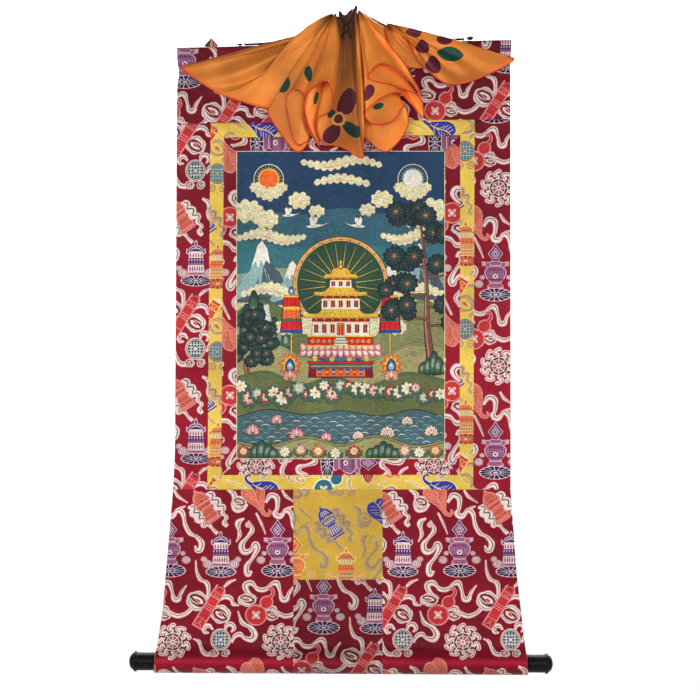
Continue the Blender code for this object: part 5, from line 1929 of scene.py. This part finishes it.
SILK_DYES_AND_SHADOW = {
    "ground": dye(236, 138, 52),
    # gather is no dye: it is painted shadow, the colour deep in the gathered folds.
    "gather": dye(38, 10, 8),
    "maroon": dye(98, 24, 46),
    "leaf": dye(18, 70, 54),
    "light": dye(246, 176, 92),
}
PRINTS = (  # dye, middle x and z, half width and height, turn
    ("maroon", -2.8, -133.0, 12.6, 20.6, -12), ("maroon", -26.0, -182.0, 11.0, 19.0, -38),
    ("leaf", 4.0, -175.0, 19.0, 8.8, -42), ("leaf", -27.0, -151.5, 6.6, 6.0, 20),
    ("light", -15.5, -158.7, 10.6, 10.6, 0), ("maroon", -15.5, -158.7, 7.0, 7.0, 0),
    ("leaf", -97.5, -107.0, 9.0, 13.0, -20), ("leaf", -60.5, -92.0, 6.0, 12.0, 8),
    ("leaf", -49.0, -128.5, 3.4, 10.0, -14), ("maroon", 29.0, -121.5, 7.6, 13.0, -24),
    ("leaf", 43.5, -141.5, 8.6, 4.6, 18), ("maroon", 96.0, -30.0, 12.0, 7.0, -4),
    ("leaf", 85.5, -43.5, 3.4, 6.6, 34), ("maroon", 110.5, -52.5, 11.0, 9.0, 8),
    ("maroon", 142.5, -40.0, 12.0, 8.0, 0), ("leaf", 150.0, -62.5, 20.6, 10.6, -8),
    ("maroon", 126.0, -80.0, 12.0, 12.4, 10),
)


def printed_leaf(x, y, wide, high, turn):
    """A leaf with a point at each end."""
    angle = np.linspace(0, 2 * math.pi, 26, endpoint=False)
    across = np.sin(angle) * np.abs(np.sin(angle)) ** 0.6
    return turned(np.stack([wide * np.cos(angle), high * across], axis=1), turn) + (x, y)


def orange_silk():
    """Thin plain-woven silk with a soft sheen, a little uneven in its dye."""
    silk = new_material("orange_silk", 0.4, 0.1, 0.3, 0.3)
    cloudy = texture(silk, "Noise", Scale=13.0, Detail=3.0, Roughness=0.5)
    threads = texture(silk, "Noise", Scale=1200.0, Detail=2.0)
    unevenly_dyed(silk, (cloudy, 0.7, 1.24), (threads, 0.86, 1.14))
    raised_by(silk, threads, 0.25, 0.0002)
    return silk


ORANGE_SILK = orange_silk()


BEND_STEP, DOWN_STEP = 2.6, 3.2  # how finely the sheet is cut along its hem and down its drop


def silk_cover():
    """The veil's closed sheet, cut up along its prints and finely enough to bend."""
    length = float(HEM_RUN[-1])
    outline = np.array([(0.0, DROP), (0.0, 0.0), (length, 0.0), (length, DROP)])
    flat_outline = subdivided(outline, BEND_STEP)
    prints = []
    for colour, x, z, wide, high, turn in PRINTS:
        drawn = printed_leaf if colour == "leaf" and wide > 15 else oval
        shape = drawn(x, z, wide, high, turn)
        prints.append((colour, on_veil(shape)))
    across, down = np.arange(BEND_STEP, length - 1, BEND_STEP), np.arange(DOWN_STEP, DROP - 1, DOWN_STEP)
    grid = [(x, y) for x in across for y in down]
    loops = [flat_outline] + [area for _, area in prints]
    flat, faces, middles, colour, _ = cut_along(outline, loops, [], grid, prints, SILK_DYES_AND_SHADOW)
    crease = creased(flat[:, 0], flat[:, 1])
    front = lifted(veil, flat, -SILK / 2 + crease)
    back = lifted(veil, flat, SILK / 2 + crease)
    loop = rim_loop(faces)
    first = len(front)
    rim = [(loop[k], loop[k - 1], first + loop[k - 1], first + loop[k]) for k in range(len(loop))]
    quads = [tuple(face) for face in faces] + [tuple(face[::-1] + first) for face in faces] + rim
    cover = new_piece("silk_veil", np.vstack([front, back]), quads, ORANGE_SILK)
    thread = cover.data.color_attributes.new("thread", "FLOAT_COLOR", "CORNER")
    sides = np.tile(np.array(SILK_DYES_AND_SHADOW["ground"]), (4 * len(rim), 1))
    colour = shaded(middles[:, 0], middles[:, 1], colour)
    both = np.repeat(colour, 3, axis=0)
    thread.data.foreach_set("color", np.vstack([both, both, sides]).ravel())
    return cover


silk_veil = silk_cover()


def red_overlock():
    """Glossy red machine thread, wound over the silk's edge."""
    thread = new_material("red_overlock", 0.55, 0.1, 0.2)
    stitch = texture(thread, "Noise", Scale=420.0, Detail=2.0)
    dyed_by(thread, stitch, (186, 48, 28), (236, 92, 48), 0.35, 0.65)
    return thread


def overlocked_edge():
    """The wound thread along the hem: a thin roll that swells at every stitch."""
    count = int(HEM_RUN[-1] / 0.9)
    s = np.linspace(0.4, HEM_RUN[-1] - 0.4, count)
    path = world(veil(s, np.full(count, DROP))) / MM
    radius = 1.0 + 0.25 * np.sin(np.arange(count) * math.pi / 2)
    shell, faces = tube_shell(path, radius, 6)
    return new_piece("silk_overlocking", shell * MM, faces, red_overlock())


overlocking = overlocked_edge()
for piece in (silk_veil, overlocking):
    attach(piece, "root")
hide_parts("silk_cover")

# ------------------------------------------------------------------ the corner tab
# A small diamond of dark brocade is sewn behind the top edge near the left corner.
TAB = {"x": -207.0, "z": -46.0, "half_width": 10.4, "half_height": 11.5}
TAB_BEHIND = SLAT_THICK / 2 + GAP + CLOTH + GAP + CLOTH / 2 + RELIEF
TAB_DYES = dict(
    RED_DYES, ground=dye(74, 44, 30), cream=dye(196, 128, 118), line=dye(60, 36, 30), blush=dye(150, 116, 62),
    coral=dye(104, 92, 44), salmon=dye(170, 96, 84), mauve=dye(112, 96, 50), teal=dye(84, 78, 40),
)


def tab_cloth(x, y):
    return np.stack([x, np.full(len(x), -TAB_BEHIND), y], axis=1)


half_width, half_height = TAB["half_width"], TAB["half_height"]
outline = np.array([(-half_width, 0), (0, -half_height), (half_width, 0), (0, half_height)], float)
outline += (TAB["x"], TAB["z"])
areas = repeats(BROCADE_REPEAT, outline, TAB["x"] - 36.0, TAB["z"] + 28.0)
tab = woven_panel("brocade_tab_cloth", outline, areas, TAB_DYES, tab_cloth, (RED_BROCADE, LINING))
declare(tab, outline, "brocade_tab")

# ------------------------------------------------------------------ the slat, the rod and its caps
# A flat slat in the top hem and a round rod in the bottom sleeve are plain pine, and hardly show.
# The rod's end caps are turned in hardwood: barrel, ring and dome, lacquered black and rubbed.
CAP_PROFILE = (  # distance from the rod's end, radius
    (0.0, 0.0), (0.0, 12.4), (0.4, 13.0), (1.2, 13.4), (14.0, 13.3), (26.4, 13.4), (27.0, 13.9),
    (27.6, 14.7), (28.4, 15.2), (30.4, 15.2), (31.3, 14.5), (31.9, 12.9), (33.4, 12.2), (35.2, 10.8),
    (36.6, 9.0), (37.6, 7.0), (38.5, 4.0), (38.9, 1.6), (39.0, 0.0),
)
CAP_FACETS = 72


def pine():
    """Pale pine with its grain along the length."""
    wood = new_material("pine", 0.6, 0.0, 0.3)
    grain = texture(wood, "Noise", (0.06, 1.0, 1.0), Scale=420.0, Detail=5.0, Roughness=0.65)
    dyed_by(wood, grain, (142, 100, 60), (196, 156, 106), 0.35, 0.65)
    raised_by(wood, grain, 0.3, 0.0002)
    return wood


def black_lacquer():
    """Black lacquer, rubbed duller and a little brown in places, with the lathe's faint rings."""
    lacquer = new_material("black_lacquer", 0.36, 0.0, 0.16)
    rubbed = texture(lacquer, "Noise", Scale=160.0, Detail=4.0, Roughness=0.65)
    dyed_by(lacquer, rubbed, (8, 6, 10), (46, 38, 42), 0.45, 0.85)
    dull = node(lacquer, "ShaderNodeMapRange", From_Min=0.35, From_Max=0.7, To_Min=0.28, To_Max=0.5)
    join(lacquer, rubbed, "Fac", dull, "Value")
    join(lacquer, dull, "Result", shader_of(lacquer), "Roughness")
    rings = texture(lacquer, "Wave", Scale=260.0, Distortion=0.6, Detail=1.0)
    raised_by(lacquer, rings, 0.15, 0.0001)
    return lacquer


PINE, BLACK_LACQUER = pine(), black_lacquer()
for name in ("top_slat", "bottom_rod"):
    for slot in frame["nodes"][name].material_slots:
        slot.material = PINE


def turned_cap(name, x, side):
    """A cap turned on a lathe, from the rod's end outwards."""
    axis = np.array([1.0, 0.0, ROD_Z["slope"]])
    axis *= side / np.linalg.norm(axis)
    up = np.cross(axis, (0.0, 1.0, 0.0))
    angles = np.linspace(0, 2 * math.pi, CAP_FACETS, endpoint=False)
    start = np.array([x, 0.0, along(ROD_Z, x)])
    ring = np.cos(angles)[:, None] * np.array([0.0, 1.0, 0.0]) + np.sin(angles)[:, None] * up
    rings = [start]
    for reach, radius in CAP_PROFILE[1:-1]:
        rings.extend(start + axis * reach + radius * ring)
    rings.append(start + axis * CAP_PROFILE[-1][0])
    faces = []
    bands = len(CAP_PROFILE) - 2
    for k in range(CAP_FACETS):
        after = (k + 1) % CAP_FACETS
        faces.append((0, 1 + after, 1 + k))
        for band_at in range(bands - 1):
            low, high = 1 + band_at * CAP_FACETS, 1 + (band_at + 1) * CAP_FACETS
            faces.append((low + k, low + after, high + after, high + k))
        last = 1 + (bands - 1) * CAP_FACETS
        faces.append((last + k, last + after, len(rings) - 1))
    cap = new_piece(f"{name}_turned", world(rings), faces, BLACK_LACQUER)
    cap.data.set_sharp_from_angle(angle=math.radians(50))
    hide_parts(name)
    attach(cap, "root")


turned_cap("cap_left", float(edge_x(LEFT_EDGE, ROD_Z["z"])) - GAP, -1)
turned_cap("cap_right", float(edge_x(RIGHT_EDGE, ROD_Z["z"])) + GAP, 1)

# ------------------------------------------------------------------ how it is shown
# The scroll hangs in front of a plain pale wall, seen straight on from the height of its middle,
# in soft light from both sides.


def plain(name, red, green, blue):
    paint = new_material(name, 0.9)
    shader_of(paint).inputs["Base Color"].default_value = dye(red, green, blue)
    return paint


def plane(name, middle, size, turn, material):
    half = size / 2
    piece = new_piece(name, [(-half, -half, 0), (half, -half, 0), (half, half, 0), (-half, half, 0)],
                      [(0, 1, 2, 3)], material)
    piece.location = middle
    piece.rotation_euler = turn


pale = plain("pale_paint", 250, 250, 250)
stone = plain("pale_stone", 205, 203, 200)
plane("wall", (0, 3.0, -0.5), 16.0, (math.pi / 2, 0, 0), pale)
plane("floor", (0, -3.0, -1.8), 16.0, (0, 0, 0), stone)


def lamp(name, place, aim, size, power):
    light = bpy.data.lights.new(name, "AREA")
    light.shape = "RECTANGLE"
    light.size, light.size_y = size
    light.energy = power
    lit = bpy.data.objects.new(name, light)
    bpy.context.scene.collection.objects.link(lit)
    lit.location = place
    lit.rotation_euler = (Vector(aim) - Vector(place)).to_track_quat("-Z", "Y").to_euler()


lamp("soft_left", (-1.6, -1.9, -0.2), (0, 0, -0.65), (1.0, 1.2), 23.0)
lamp("soft_right", (1.7, -1.8, -0.3), (0, 0, -0.65), (1.0, 1.2), 17.0)
lamp("front_fill", (0.1, -3.2, -0.3), (0, 0, -0.7), (1.6, 1.0), 19.0)
lamp("wall_wash", (0.0, 1.8, 2.1), (0, 3.0, -0.6), (4.6, 0.6), 230.0)
world_light = bpy.data.worlds.new("daylight")
world_light.use_nodes = True
sky = world_light.node_tree.nodes["Background"]
sky.inputs["Color"].default_value = dye(250, 250, 252)
sky.inputs["Strength"].default_value = 0.15
bpy.context.scene.world = world_light

bpy.context.scene.view_settings.view_transform = "Standard"
lens = bpy.data.cameras.new("camera")
lens.lens, lens.sensor_width = 85.0, 36.0
camera = bpy.data.objects.new("camera", lens)
bpy.context.scene.collection.objects.link(camera)
camera.location = (0.0015, -2.48, -0.504)
camera.rotation_euler = (math.pi / 2, 0.0, 0.0)
bpy.context.scene.camera = camera
